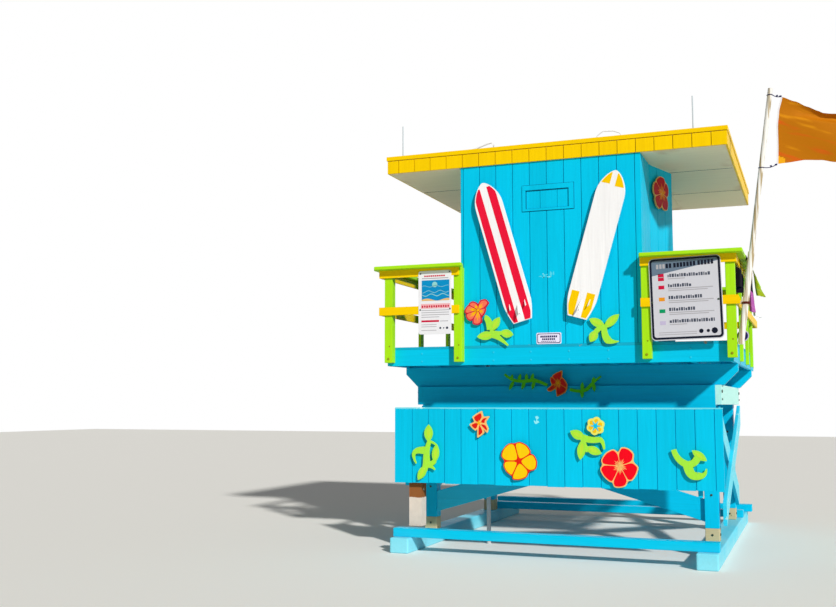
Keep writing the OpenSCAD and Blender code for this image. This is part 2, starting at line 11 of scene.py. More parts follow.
import bmesh
import bpy
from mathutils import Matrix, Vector


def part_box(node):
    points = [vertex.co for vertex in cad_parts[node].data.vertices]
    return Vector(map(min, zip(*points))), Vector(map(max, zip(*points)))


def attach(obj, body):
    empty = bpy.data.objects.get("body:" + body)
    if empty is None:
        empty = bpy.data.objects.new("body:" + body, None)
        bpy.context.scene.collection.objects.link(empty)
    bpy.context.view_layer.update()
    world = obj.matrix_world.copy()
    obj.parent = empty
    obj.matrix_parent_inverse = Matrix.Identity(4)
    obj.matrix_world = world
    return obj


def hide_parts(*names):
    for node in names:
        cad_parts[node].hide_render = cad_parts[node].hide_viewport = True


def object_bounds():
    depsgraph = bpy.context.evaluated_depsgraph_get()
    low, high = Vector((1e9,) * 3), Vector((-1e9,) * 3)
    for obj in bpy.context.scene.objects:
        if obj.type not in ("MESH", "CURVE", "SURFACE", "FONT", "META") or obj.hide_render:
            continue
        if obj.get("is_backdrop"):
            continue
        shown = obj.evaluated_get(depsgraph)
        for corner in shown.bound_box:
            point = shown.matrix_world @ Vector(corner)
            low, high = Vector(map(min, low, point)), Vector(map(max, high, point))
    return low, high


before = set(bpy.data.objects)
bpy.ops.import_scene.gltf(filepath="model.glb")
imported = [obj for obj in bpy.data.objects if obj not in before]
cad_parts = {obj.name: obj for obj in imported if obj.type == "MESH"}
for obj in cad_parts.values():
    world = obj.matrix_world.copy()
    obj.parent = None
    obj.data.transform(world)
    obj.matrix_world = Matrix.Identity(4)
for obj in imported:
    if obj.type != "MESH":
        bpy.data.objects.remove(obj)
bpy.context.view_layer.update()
scene = bpy.context.scene

# %% [markdown]
# ## Places
# Every piece is placed from the cabin's rear wall: its middle, its outer face
# and its foot, which is the deck. `at` turns a place measured on the real
# tower, in metres from there and from the ground, into the frame of the CAD.

# %% Places
wall_low, wall_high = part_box("rear_wall")
MID, BACK = (wall_low.x + wall_high.x) / 2, wall_low.y
DECK, EAVES = wall_low.z, wall_high.z


def at(x, y, z):
    return Vector((MID + x, BACK + y, z))


def placed(name, data):
    """A new object in the scene."""
    made = bpy.data.objects.new(name, data)
    scene.collection.objects.link(made)
    return made


print("deck at", round(DECK, 3), "eaves at", round(EAVES, 3))

# %% [markdown]
# ## Camera
# The photograph was taken from behind the tower and to its right, from a
# height of about a metre and a half, looking a little up. The focal length
# and the place were solved from the edges of the roof, deck and skids.

# %% Camera
PHOTO_WIDTH, FOCAL_PIXELS, SENSOR = 836, 1017.47, 36
LOOK_UP, LOOK_LEFT = 5.646, 21.35
camera_data = bpy.data.cameras.new("camera")
camera = placed("camera", camera_data)
camera_data.sensor_width = SENSOR
camera_data.lens = FOCAL_PIXELS / PHOTO_WIDTH * SENSOR
camera_data.clip_end = 200
camera.location = at(2.5362, -10.196, 1.5311)
camera.rotation_euler = (radians(90 + LOOK_UP), 0, radians(LOOK_LEFT))
scene.camera = camera
print("camera", [round(v, 3) for v in camera.location])

# %% [markdown]
# ## Nodes in one line
# Every finish here is made of shader nodes. Adding one by hand takes a line
# for the node, one for each number and one for each link. These helpers do
# all of it in a line, so that a finish reads like a sum.

# %% Helpers for nodes


def node(tree, kind, inputs=None, **settings):
    """Adds a node, sets its fields, and links or sets its inputs."""
    made = tree.nodes.new(kind)
    for field, value in settings.items():
        setattr(made, field, value)
    for key, value in (inputs or {}).items():
        if isinstance(value, bpy.types.NodeSocket):
            tree.links.new(value, made.inputs[key])
        else:
            made.inputs[key].default_value = value
    return made


def maths(tree, operation, a, b=None, clamp=False):
    inputs = {0: a} if b is None else {0: a, 1: b}
    return node(tree, "ShaderNodeMath", inputs, operation=operation, use_clamp=clamp).outputs[0]


def plus(tree, a, b, clamp=False):
    return maths(tree, "ADD", a, b, clamp)


def minus(tree, a, b):
    return maths(tree, "SUBTRACT", a, b)


def times(tree, a, b):
    return maths(tree, "MULTIPLY", a, b)


def vector_maths(tree, operation, a, b, out=0):
    return node(tree, "ShaderNodeVectorMath", {0: a, 1: b}, operation=operation).outputs[out]


def here(tree):
    """The place of a point in metres."""
    return node(tree, "ShaderNodeTexCoord").outputs["Object"]


def axes(tree):
    return node(tree, "ShaderNodeSeparateXYZ", {0: here(tree)}).outputs


def noise(tree, place, scale, detail=2.0, roughness=0.5, distortion=0.0):
    return node(tree, "ShaderNodeTexNoise", {"Vector": place, "Scale": scale, "Detail": detail,
                                             "Roughness": roughness, "Distortion": distortion}).outputs["Fac"]


def ramp(tree, value, low, high):
    """0 below low, 1 above high, and a smooth step between."""
    return node(tree, "ShaderNodeMapRange", {"Value": value, "From Min": low, "From Max": high},
                interpolation_type="SMOOTHSTEP").outputs["Result"]


def blend_colour(tree, share, a, b):
    return node(tree, "ShaderNodeMix", {"Factor": share, 6: a, 7: b}, data_type="RGBA").outputs[2]


def new_material(name, shine):
    """A material, its node tree and the inputs of its shader."""
    material = bpy.data.materials.new(name)
    material.use_nodes = True
    shader = material.node_tree.nodes["Principled BSDF"].inputs
    shader["Specular IOR Level"].default_value = shine
    return material, material.node_tree, shader


print("helpers", [f.__name__ for f in (node, maths, noise, ramp, blend_colour, new_material)])

# %% [markdown]
# ## Light and floor
# One soft lamp stands behind the camera's right shoulder, and an even fill
# comes from all round. Together they are near 1 on a face that looks at the
# camera, so paint renders about as it is written. The floor is pale and
# catches the shadow, and rays from the camera see white beyond it.

# %% Light and floor
world = bpy.data.worlds.new("studio")
scene.world = world
world.use_nodes = True
tree = world.node_tree
tree.nodes.clear()
fill = node(tree, "ShaderNodeBackground", {"Color": (0.93, 0.96, 1.0, 1), "Strength": 0.17})
white = node(tree, "ShaderNodeBackground", {"Color": (1, 1, 1, 1), "Strength": 1.0})
rays = node(tree, "ShaderNodeLightPath").outputs
seen = maths(tree, "MAXIMUM", rays["Is Camera Ray"], rays["Is Glossy Ray"])
seen = maths(tree, "MAXIMUM", seen, rays["Is Transmission Ray"])
shown = node(tree, "ShaderNodeMixShader", {0: seen, 1: fill.outputs[0], 2: white.outputs[0]})
node(tree, "ShaderNodeOutputWorld", {"Surface": shown.outputs[0]})

lamp_data = bpy.data.lights.new("key", "SUN")
lamp_data.energy = 3.4
lamp_data.angle = radians(3)
lamp_data.color = (1.0, 0.985, 0.95)
lamp = placed("key", lamp_data)
lamp.rotation_euler = Vector((-0.606, 0.606, -0.515)).to_track_quat("-Z", "Y").to_euler()

FLOOR = 40
floor_mesh = bpy.data.meshes.new("floor")
corners = [(a * FLOOR, b * FLOOR, 0) for a, b in ((-1, -1), (1, -1), (1, 1), (-1, 1))]
floor_mesh.from_pydata(corners, [], [(0, 1, 2, 3)])
floor_paint, tree, shader = new_material("floor", 0.1)
shader["Base Color"].default_value = (0.93, 0.915, 0.87, 1)
shader["Roughness"].default_value = 0.9
floor_mesh.materials.append(floor_paint)
placed("floor", floor_mesh)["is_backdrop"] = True
scene.view_settings.view_transform = "Standard"
print("lamp strength", lamp_data.energy, "fill", fill.inputs["Strength"].default_value)

# %% [markdown]
# ## Node groups for painted timber
# All the tower's timber wears the same things, so each is a node group that
# is built once: grain that shows through paint, a slightly different tone on
# each board, and chips and rubbed spots where bare wood shows. A group gives
# out only colours, masks and heights, and the shader stays in the material.

# %% Grain group


def new_group(name, ins, outs):
    """A node group with named sockets, the values that come in and the sockets that go out."""
    group = bpy.data.node_groups.new(name, "ShaderNodeTree")
    kinds = {"f": "NodeSocketFloat", "v": "NodeSocketVector"}
    for label, kind, value in ins:
        socket = group.interface.new_socket(label, in_out="INPUT", socket_type=kinds[kind])
        socket.default_value = value
    for label in outs:
        group.interface.new_socket(label, in_out="OUTPUT", socket_type=kinds["f"])
    return group, group.nodes.new("NodeGroupInput").outputs, group.nodes.new("NodeGroupOutput").inputs


def use_group(tree, group, **values):
    return node(tree, "ShaderNodeGroup", values, node_tree=group).outputs


GRAIN, into, outof = new_group("grain", [("Stretch", "v", (30, 30, 2)), ("Depth", "f", 0.5)],
                               ["Grain", "Streaks"])
stretched = vector_maths(GRAIN, "MULTIPLY", here(GRAIN), into["Stretch"])
fine = noise(GRAIN, stretched, 6.0, 4.0, distortion=0.4)
GRAIN.links.new(times(GRAIN, fine, into["Depth"]), outof["Grain"])
GRAIN.links.new(noise(GRAIN, stretched, 0.9, 3.0, distortion=1.2), outof["Streaks"])
print("grain", len(GRAIN.nodes), "nodes")

# %% Board tone group
TONE, into, outof = new_group("board_tone", [("Across", "v", (1, 0, 0)), ("Pitch", "f", 0.18),
                                             ("Start", "f", 0.0), ("Amount", "f", 0.06)], ["Tone"])
along = vector_maths(TONE, "DOT_PRODUCT", here(TONE), into["Across"], "Value")
count = maths(TONE, "FLOOR", maths(TONE, "DIVIDE", minus(TONE, along, into["Start"]), into["Pitch"]))
chance = node(TONE, "ShaderNodeTexWhiteNoise", {"W": count}, noise_dimensions="1D").outputs["Value"]
swing = times(TONE, minus(TONE, chance, 0.5), times(TONE, into["Amount"], 2.0))
TONE.links.new(plus(TONE, swing, 1.0), outof["Tone"])
print("board tone", len(TONE.nodes), "nodes")

# %% Wear group
WEAR, into, outof = new_group("wear", [("Scale", "f", 9.0), ("Amount", "f", 0.5), ("Ground", "f", 0.0)],
                              ["Chips", "Rubbed", "Dirt"])
place = here(WEAR)
cut = minus(WEAR, 0.86, times(WEAR, into["Amount"], 0.22))
spots = noise(WEAR, place, into["Scale"], 8.0, roughness=0.62)
WEAR.links.new(ramp(WEAR, spots, cut, plus(WEAR, cut, 0.012)), outof["Chips"])
clouds = noise(WEAR, place, 1.7, 5.0)
WEAR.links.new(times(WEAR, ramp(WEAR, clouds, 0.5, 0.78), into["Amount"]), outof["Rubbed"])
ragged = plus(WEAR, axes(WEAR)["Z"], times(WEAR, clouds, 0.35))
low = minus(WEAR, 1.0, ramp(WEAR, ragged, 0.16, 0.42))
WEAR.links.new(times(WEAR, low, into["Ground"]), outof["Dirt"])
print("node groups", [g.name for g in bpy.data.node_groups])

# %% [markdown]
# ## Paints
# `paint` mixes one coat: a base colour, its tone by board, grain in the
# height, and a second colour for chips. Grain runs along the board, so a
# coat is made for each direction in which boards of that colour lie. Pieces
# ask for a coat by its name.

# %% Paint


def linear(colour):
    """A colour as a screen shows it, 0 to 255, turned into light."""
    return tuple(((c / 255 + 0.055) / 1.055) ** 2.4 if c > 10 else c / 255 / 12.92 for c in colour) + (1.0,)


def shade(colour, share):
    return tuple(min(1.0, c * share) for c in colour[:3]) + (1.0,)


def paint(name, colour, under, grain, rough=0.42, wear=0.5, ground=0.0, across=None, depth=0.5,
          tone=0.05, shine=0.08):
    """One coat. across is the way from board to board, their pitch and where the first one starts."""
    material, tree, shader = new_material(name, shine)
    colour, under = linear(colour), linear(under)
    pale, deep = shade(colour, 1.05), shade(colour, 0.84)
    grained = use_group(tree, GRAIN, Stretch=grain, Depth=depth)
    worn = use_group(tree, WEAR, Amount=wear, Ground=ground)
    base = blend_colour(tree, grained["Streaks"], deep, pale)
    if across:
        boards = use_group(tree, TONE, Across=across[0], Pitch=across[1], Start=across[2], Amount=tone)
        base = node(tree, "ShaderNodeVectorMath", {0: base}, operation="SCALE")
        tree.links.new(boards["Tone"], base.inputs["Scale"])
        base = base.outputs[0]
    faded = blend_colour(tree, times(tree, worn["Rubbed"], 0.35), base, pale)
    dusty = blend_colour(tree, times(tree, worn["Dirt"], 0.55), faded, under)
    tree.links.new(blend_colour(tree, worn["Chips"], dusty, under), shader["Base Color"])
    dull = plus(tree, times(tree, worn["Rubbed"], 0.2), rough)
    tree.links.new(plus(tree, dull, times(tree, worn["Chips"], 0.3), clamp=True), shader["Roughness"])
    relief = minus(tree, grained["Grain"], times(tree, worn["Chips"], 0.6))
    bump = node(tree, "ShaderNodeBump", {"Height": relief, "Strength": 0.25, "Distance": 0.004})
    tree.links.new(bump.outputs["Normal"], shader["Normal"])


print("middle grey as light", round(linear((128, 128, 128))[0], 3))

# %% Coats of the tower
UP, ALONG_X, ALONG_Y = (34, 34, 1.6), (1.6, 34, 34), (34, 1.6, 34)
WALL_PITCH, WALL_START = 0.1826, -0.928
ROOF_PITCH, ROOF_START = 0.18467, -1.671
DECK_PITCH = (3.2 + 0.006) / 22
TURQUOISE, LIME, YELLOW = (0, 199, 238), (172, 232, 28), (255, 208, 0)
paint("turquoise_boards", TURQUOISE, (120, 205, 215), UP, wear=0.35,
      across=((1, 0, 0), WALL_PITCH, MID + WALL_START))
paint("turquoise_side_boards", TURQUOISE, (120, 205, 215), UP, wear=0.3)
paint("turquoise_beams", TURQUOISE, (120, 215, 225), ALONG_X, wear=0.6, ground=0.25)
paint("turquoise_rails", TURQUOISE, (150, 205, 205), ALONG_Y, wear=0.6, ground=0.7)
paint("turquoise_posts", TURQUOISE, (150, 205, 205), UP, ground=0.3)
# The next three coats are paler than the turquoise. The first two are a painted highlight on the braces. The
# third is a painted highlight on the girders' lit sides and worn paint on their sawn ends.
paint("faded_turquoise", (52, 212, 243), (170, 225, 225), ALONG_X, wear=0.9, ground=0.25)
paint("bleached_turquoise", (112, 228, 248), (215, 245, 245), ALONG_Y, wear=1.0)
paint("worn_ends", (190, 250, 240), (225, 250, 245), ALONG_Y, wear=1.0)
# A paler coat for the skirt's top lath: worn paint and a painted highlight along its top.
paint("worn_and_highlit_lath", (110, 224, 240), (200, 240, 240), ALONG_X, wear=0.9)
paint("skid_paint", (104, 220, 244), (200, 236, 236), ALONG_Y, wear=0.9, ground=0.5)
paint("deck_paint", (20, 172, 205), (150, 140, 120), ALONG_X, rough=0.6, wear=1.0,
      across=((0, 1, 0), DECK_PITCH, BACK), tone=0.1)
paint("lime_posts", LIME, (205, 235, 120), UP, wear=0.4)
paint("lime_caps", LIME, (205, 235, 120), ALONG_X)
paint("lime_leaves", (168, 236, 66), (215, 240, 130), UP, wear=0.6)
paint("vine_green", (88, 200, 24), (170, 225, 90), UP)
paint("yellow_edge_boards", YELLOW, (255, 232, 140), UP, wear=0.3,
      across=((1, 0, 0), ROOF_PITCH, MID + ROOF_START), tone=0.03)
paint("yellow_rails", YELLOW, (255, 232, 140), ALONG_X, wear=0.4)
paint("board_yellow", (255, 204, 0), (255, 236, 140), UP, rough=0.35, depth=0.1)
paint("raw_timber", (214, 152, 96), (150, 105, 70), UP, rough=0.8, wear=0.9, depth=1.0)
paint("foot_timber", (206, 190, 150), (120, 125, 80), ALONG_X, rough=0.85, wear=1.0, depth=1.0)
paint("ceiling_paint", (255, 232, 198), (205, 190, 178), ALONG_X, rough=0.6, wear=0.6,
      across=((0, 1, 0), 1.14, BACK - 0.04))
paint("roof_coat", (232, 232, 228), (200, 196, 186), ALONG_X, rough=0.7, wear=0.8, depth=0.2)
paint("white_enamel", (250, 249, 250), (225, 222, 212), UP, rough=0.3, wear=0.2, depth=0.1, shine=0.16)
paint("red_enamel", (236, 16, 56), (255, 150, 120), UP, rough=0.35, wear=0.3, depth=0.1, shine=0.16)
paint("pole_white", (244, 242, 236), (190, 180, 150), UP, rough=0.4, depth=0.1)
paint("rod_white", (206, 216, 222), (225, 222, 212), UP, rough=0.3, wear=0.2, depth=0.1)
for name, colour, under, wear in (
        ("petal_red", (250, 6, 30), (255, 160, 90), 0.5),
        ("petal_deep_red", (226, 30, 20), (255, 160, 90), 0.5),
        ("petal_gold", (255, 186, 0), (255, 226, 120), 0.5),
        ("leaf_gold", (190, 232, 60), (225, 236, 130), 0.5),
        # A darker red for the flower on the shaded side wall: painted shade.
        ("petal_wine", (190, 0, 28), (255, 140, 120), 0.4),
        ("petal_amber", (248, 196, 20), (255, 240, 160), 0.5),
        ("petal_pale", (240, 238, 110), (255, 250, 190), 0.5),
        ("petal_crimson", (206, 30, 60), (255, 140, 120), 0.5),
        ("petal_lemon", (255, 206, 10), (255, 240, 160), 0.5),
        ("petal_coral", (248, 116, 90), (255, 180, 110), 0.6),
        ("edge_peach", (255, 196, 116), (255, 226, 170), 0.5),
        ("edge_red", (236, 40, 20), (255, 140, 90), 0.5),
        ("edge_orange", (250, 150, 40), (255, 200, 120), 0.5)):
    paint(name, colour, under, UP, wear=wear, depth=0.2)
print("paints", len(bpy.data.materials))

# %% [markdown]
# ## Streaks, painted shade and painted sunlight
# Two effects lie over a coat. Darker streaks run along the pole as painted
# shade, and large brownish blotches lie on the ceiling. The loose prop is pale
# up to half a metre, as painted sunlight, and brown above it, as painted shade.

# %% Streaks and painted light


def base_of(name):
    tree = bpy.data.materials[name].node_tree
    return tree, tree.nodes["Principled BSDF"].inputs["Base Color"]


def lay_streaks(name, streak_colour, size, low, high):
    """Lays streaks of a second colour over a paint, along its grain; on the pole they are painted shade."""
    tree, base = base_of(name)
    streaks = noise(tree, vector_maths(tree, "MULTIPLY", here(tree), size), 1.0, 3.0)
    share = ramp(tree, streaks, low, high)
    tree.links.new(blend_colour(tree, share, base.links[0].from_socket, linear(streak_colour)), base)


def paler_below(name, lower, height):
    """A paler colour up to a height above the ground, with a ragged edge: painted sunlight below a line of
    shade.
    """
    tree, base = base_of(name)
    lower = linear(lower)
    edge = plus(tree, axes(tree)["Z"], times(tree, noise(tree, here(tree), 30.0), 0.03))
    above = ramp(tree, edge, height + 0.01, height + 0.02)
    mottled = blend_colour(tree, noise(tree, here(tree), 14.0), lower, shade(lower, 0.8))
    tree.links.new(blend_colour(tree, above, mottled, base.links[0].from_socket), base)


# Streaks on the pole are painted shade; on the ceiling they are large brownish blotches.
lay_streaks("pole_white", (176, 158, 122), (55, 30, 0.7), 0.47, 0.6)
lay_streaks("ceiling_paint", (206, 160, 120), (2.2, 1.3, 2.2), 0.58, 0.8)
# The prop's cream below half a metre is painted sunlight, and its brown above is painted shade.
PROP_SUNLIT_CREAM = (236, 220, 205)
paint("prop_timber", (150, 92, 48), PROP_SUNLIT_CREAM, UP, rough=0.8, wear=0.9, depth=1.0, shine=0.1)
paler_below("prop_timber", PROP_SUNLIT_CREAM, 0.544)
print("coats so far", len(bpy.data.materials))

# %% [markdown]
# ## Plain finishes
# Bolts, plastic pipe and the enamel of the signs hold one colour each, with
# only a fine mottle in the roughness, as a smooth made surface has.

# %% Plain finishes


def plain(name, colour, rough=0.35, metal=0.0, scale=60.0, fade=0.12):
    material, tree, shader = new_material(name, 0.15)
    colour = linear(colour)
    mottle = noise(tree, here(tree), scale, 3.0)
    tree.links.new(blend_colour(tree, mottle, shade(colour, 1 - fade), colour), shader["Base Color"])
    swing = times(tree, minus(tree, mottle, 0.5), 0.12)
    tree.links.new(plus(tree, swing, rough, clamp=True), shader["Roughness"])
    shader["Metallic"].default_value = metal


# The rim's bolts are turquoise a little paler than the rim: paint over the bolts, with a painted highlight.
for name, colour, rough in (
        ("shaded_gap", (72, 64, 48), 0.9), ("shaded_turquoise_gap", (0, 66, 96), 0.7),
        ("painted_bolts", (40, 205, 236), 0.5), ("rusty_painted_bolts", (150, 150, 20), 0.6),
        ("sign_line", (6, 14, 34), 0.5), ("sign_slate", (104, 122, 142), 0.35),
        ("sign_ink", (70, 76, 92), 0.4), ("sign_faint_ink", (176, 174, 180), 0.4),
        ("sign_red", (206, 18, 62), 0.35), ("sign_orange", (236, 150, 30), 0.35),
        ("sign_green", (0, 150, 96), 0.35), ("sign_lilac", (196, 186, 216), 0.35),
        ("sign_pink", (244, 186, 190), 0.35), ("sign_buff", (236, 190, 120), 0.35),
        ("sign_mint", (150, 214, 214), 0.35), ("navy_enamel", (24, 24, 84), 0.3),
        ("rope_brown", (96, 30, 14), 0.8), ("scuffed_turquoise", (84, 216, 240), 0.5),
        ("splash_white", (150, 240, 250), 0.5), ("pipe_grey", (196, 200, 202), 0.45)):
    plain(name, colour, rough)
plain("weathered_bolts", (70, 82, 70), 0.6, metal=0.6)
plain("sign_white", (208, 208, 216), fade=0.05)
plain("sheet_white", (236, 236, 240), fade=0.04)
plain("plaque_white", (236, 232, 255), fade=0.04)
plain("sign_blue", (0, 144, 204), scale=14, fade=0.2)
print("finishes", len(bpy.data.materials))

# %% [markdown]
# ## Making pieces
# Boards, plates and cut-outs all come from one move: draw an outline and give
# it a thickness. `slab` does that in any plane, and `finish_piece` turns the
# mesh into an object that rides on the tower, with a small bevel that catches
# the light as a planed edge does.

# %% Slabs and planes


def bridge(mesh, a, b, index=0, smooth=False):
    """Faces between two rings of points."""
    for i in range(len(a)):
        face = mesh.faces.new((a[i - 1], a[i], b[i], b[i - 1]))
        face.material_index = index
        face.smooth = smooth


def slab(mesh, outline, plane, index=0):
    """Extrudes an outline. plane(u, v, d) gives the point at depth d from 0 to 1."""
    back = [mesh.verts.new(plane(u, v, 0)) for u, v in outline]
    front = [mesh.verts.new(plane(u, v, 1)) for u, v in outline]
    mesh.faces.new(back).material_index = index
    mesh.faces.new(front[::-1]).material_index = index
    bridge(mesh, back, front, index)


def rectangle(a0, b0, a1, b1):
    return [(a0, b0), (a1, b0), (a1, b1), (a0, b1)]


def panel(mesh, plane, a0, b0, a1, b1, index=0):
    slab(mesh, rectangle(a0, b0, a1, b1), plane, index)


def ring(u, v, radius, sides):
    """Points of a circle."""
    return [(u + radius * cos(tau * i / sides), v + radius * sin(tau * i / sides)) for i in range(sides)]


def upright(y0, y1):
    """Outlines in the plane of the rear wall, between two depths."""
    return lambda x, z, d: at(x, y0 + (y1 - y0) * d, z)


def lying(z0, z1):
    """Outlines seen from above, between two heights."""
    return lambda x, y, d: at(x, y, z0 + (z1 - z0) * d)


def sideways(x0, x1):
    """Outlines seen from the side, between two places across the tower."""
    return lambda y, z, d: at(x0 + (x1 - x0) * d, y, z)


print("a ring of four", [(round(u, 2), round(v, 2)) for u, v in ring(0, 0, 1, 4)])

# %% Finished pieces and dressed nodes


def soften(piece, width, segments=2):
    round_over = piece.modifiers.new("edges", "BEVEL")
    round_over.width = width
    round_over.segments = segments
    round_over.limit_method = "ANGLE"
    round_over.angle_limit = radians(35)
    round_over.harden_normals = False


def finish_piece(name, mesh, coats, bevel=0.0, stands_for=None, segments=2):
    """Makes the piece. coats are names of finishes, with spaces between."""
    bmesh.ops.recalc_face_normals(mesh, faces=mesh.faces)
    data = bpy.data.meshes.new(name)
    mesh.to_mesh(data)
    mesh.free()
    for coat in coats.split():
        data.materials.append(bpy.data.materials[coat])
    piece = placed(name, data)
    if bevel:
        soften(piece, bevel, segments)
    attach(piece, "root")
    if stands_for:
        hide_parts(stands_for)
    return piece


def dress(name, coats, bevel=0.004, segments=2):
    """A CAD node keeps its mesh: it gets paint, and a bevel as a modifier."""
    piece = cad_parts[name]
    piece.data.materials.clear()
    for coat in coats.split():
        piece.data.materials.append(bpy.data.materials[coat])
    count = len(piece.data.polygons)
    piece.data.polygons.foreach_set("material_index", [0] * count)
    piece.data.polygons.foreach_set("use_smooth", [False] * count)
    piece.modifiers.new("weld", "WELD").merge_threshold = 0.0002
    if bevel:
        soften(piece, bevel, segments)
    return piece


print("CAD nodes", len(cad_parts))

# %% [markdown]
# ## Base
# The skids, posts and beams are thick planed timbers that were bolted up and
# painted in one colour. Their CAD solids have the right shape, so each gets
# paint with grain along its length and a bevel of 3 to 14 mm. On the right,
# where most light falls, the girder and brace faces that look toward the lamp
# get a paler coat: a painted highlight. The girders' sawn ends there get the
# same coat as worn paint, and the outer braces are painted paler all over,
# also a painted highlight.

# %% Base
for name, coat, bevel, segments in (
        ("skids", "skid_paint", 0.014, 3), ("cross_beams", "turquoise_beams", 0.007, 3),
        ("main_posts", "turquoise_posts", 0.005, 2), ("post_feet", "foot_timber", 0.006, 2),
        ("skirt_prop", "prop_timber", 0.004, 2), ("skirt_rails", "turquoise_beams", 0.003, 2),
        ("skirt_hangers", "turquoise_posts", 0.003, 2), ("skirt_arms", "turquoise_rails", 0.003, 2),
        ("ring_beams", "turquoise_beams", 0.004, 2), ("upper_beams", "turquoise_beams", 0.005, 2),
        ("deck_joists", "turquoise_rails", 0.003, 2), ("deck_rim", "turquoise_beams", 0.003, 2),
        ("deck_boards", "deck_paint", 0.003, 2), ("stand_pipe", "pipe_grey", 0.0, 2),
        ("pegs", "turquoise_boards", 0.0, 2)):
    dress(name, coat, bevel, segments)
# Faces on the right that look toward the lamp get the second, paler coat, a painted highlight; so do the
# girders' worn sawn ends.
for name, coats in (("side_girders", "turquoise_rails worn_ends"),
                    ("outer_braces", "faded_turquoise bleached_turquoise"),
                    ("inner_braces", "turquoise_beams bleached_turquoise")):
    for face in dress(name, coats).data.polygons:
        looks_right = face.normal.x > 0.9
        sawn_end = name == "side_girders" and face.normal.y < -0.9
        if face.center.x > MID and (looks_right or sawn_end):
            face.material_index = 1
print("base and deck dressed, of", len(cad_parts), "nodes")

# %% [markdown]
# ## Rear wall
# The wall is clad with upright boards, 183 mm apart, with a narrow trim at
# each corner. A flat slab with a drawn line would look printed on, so every
# board is a solid of its own with a 6 mm gap, and a thin sheet behind the
# gaps keeps the wall closed. Boards that meet the hatch are cut round it.

# %% Rear wall
GAP, BOARD, LINING = 0.006, 0.022, 0.06
CORNER, INNER = 0.96, 0.958
HATCH = (-0.276, DECK + 1.392, 0.276, DECK + 1.670)


def board_round(x0, x1, z0, z1, hole):
    """A board's outline, or several, with the hole cut out of it."""
    hx0, hz0, hx1, hz1 = hole
    if x1 <= hx0 or x0 >= hx1:
        return [rectangle(x0, z0, x1, z1)]
    if x0 >= hx0 and x1 <= hx1:
        return [rectangle(x0, z0, x1, hz0), rectangle(x0, hz1, x1, z1)]
    if x0 < hx0:
        return [[(x0, z0), (x1, z0), (x1, hz0), (hx0, hz0), (hx0, hz1), (x1, hz1), (x1, z1), (x0, z1)]]
    return [[(x0, z0), (x1, z0), (x1, z1), (x0, z1), (x0, hz1), (hx1, hz1), (hx1, hz0), (x0, hz0)]]


cladding = bmesh.new()
seams = [-CORNER] + [WALL_START + WALL_PITCH * i for i in range(11)] + [CORNER]
for x0, x1 in zip(seams, seams[1:]):
    for outline in board_round(x0 + GAP / 2, x1 - GAP / 2, DECK, EAVES, HATCH):
        slab(cladding, outline, upright(0, BOARD))
hx0, hz0, hx1, hz1 = HATCH
for part in ((-INNER, DECK, hx0, EAVES), (hx1, DECK, INNER, EAVES), (hx0, DECK, hx1, hz0),
             (hx0, hz1, hx1, EAVES)):
    panel(cladding, upright(BOARD + 0.001, LINING), *part)
finish_piece("rear_wall_boards", cladding, "turquoise_boards", 0.0015, "rear_wall")
print("rear wall boards", len(seams) - 1)

# %% [markdown]
# ## Hatch
# A hatch is shut in the middle of the wall: a frame of four strips around
# three short boards. The top and right strips are wider than the others, and
# all of them stand a little proud of the boards. Dark lines lie in the joints
# round it, wider on the left and top: dark joints with painted shadow. A sheet
# behind it keeps light out of the room.

# %% Hatch
hatch = bmesh.new()
ix0, iz0, ix1, iz1 = hx0 + 0.038, hz0 + 0.026, hx1 - 0.054, hz1 - 0.054
for part in ((hx0 + 0.003, hz0 + 0.003, hx1 - 0.003, iz0), (hx0 + 0.003, iz1, hx1 - 0.003, hz1 - 0.003),
             (hx0 + 0.003, iz0 + 0.0005, ix0, iz1 - 0.0005), (ix1, iz0 + 0.0005, hx1 - 0.003, iz1 - 0.0005)):
    panel(hatch, upright(-0.01, 0.03), *part)
for s, t in ((0.0, 0.335), (0.335, 0.73), (0.73, 1.0)):
    a, b = ix0 + (ix1 - ix0) * s, ix0 + (ix1 - ix0) * t
    panel(hatch, upright(0.006, 0.036), a + 0.002, iz0 + 0.004, b - 0.002, iz1 - 0.004)
panel(hatch, upright(0.031, 0.05), hx0 + 0.004, hz0 + 0.004, hx1 - 0.004, hz1 - 0.004)
panel(hatch, upright(0.0605, 0.074), hx0 - 0.03, hz0 - 0.03, hx1 + 0.03, hz1 + 0.03)
# Dark lines in the joints, wider on the left and top: painted shadow along the frame's edges.
for (a, b, c, d), wide, joint in (
        ((hx0 - 0.002, hz0 - 0.002, hx1 + 0.002, hz1 + 0.002), 0.007, upright(-0.0005, 0.002)),
        ((ix0 - 0.001, iz0 - 0.001, ix1 + 0.001, iz1 + 0.001), 0.008, upright(0.0035, 0.007))):
    for line in ((a, b, a + wide, d), (c - wide * 0.6, b, c, d), (a, d - wide, c, d),
                 (a, b, c, b + wide * 0.6)):
        panel(hatch, joint, *line, 1)
finish_piece("hatch_boards", hatch, "turquoise_boards shaded_turquoise_gap", 0.0, "hatch")
print("hatch", round(hx1 - hx0, 3), "by", round(hz1 - hz0, 3))

# %% [markdown]
# ## Side walls
# Seen from above, each side wall runs straight, flares out, comes back and
# runs straight again. The boards follow that line: each stretch is divided
# into whole boards, and the last ones meet at the bend.

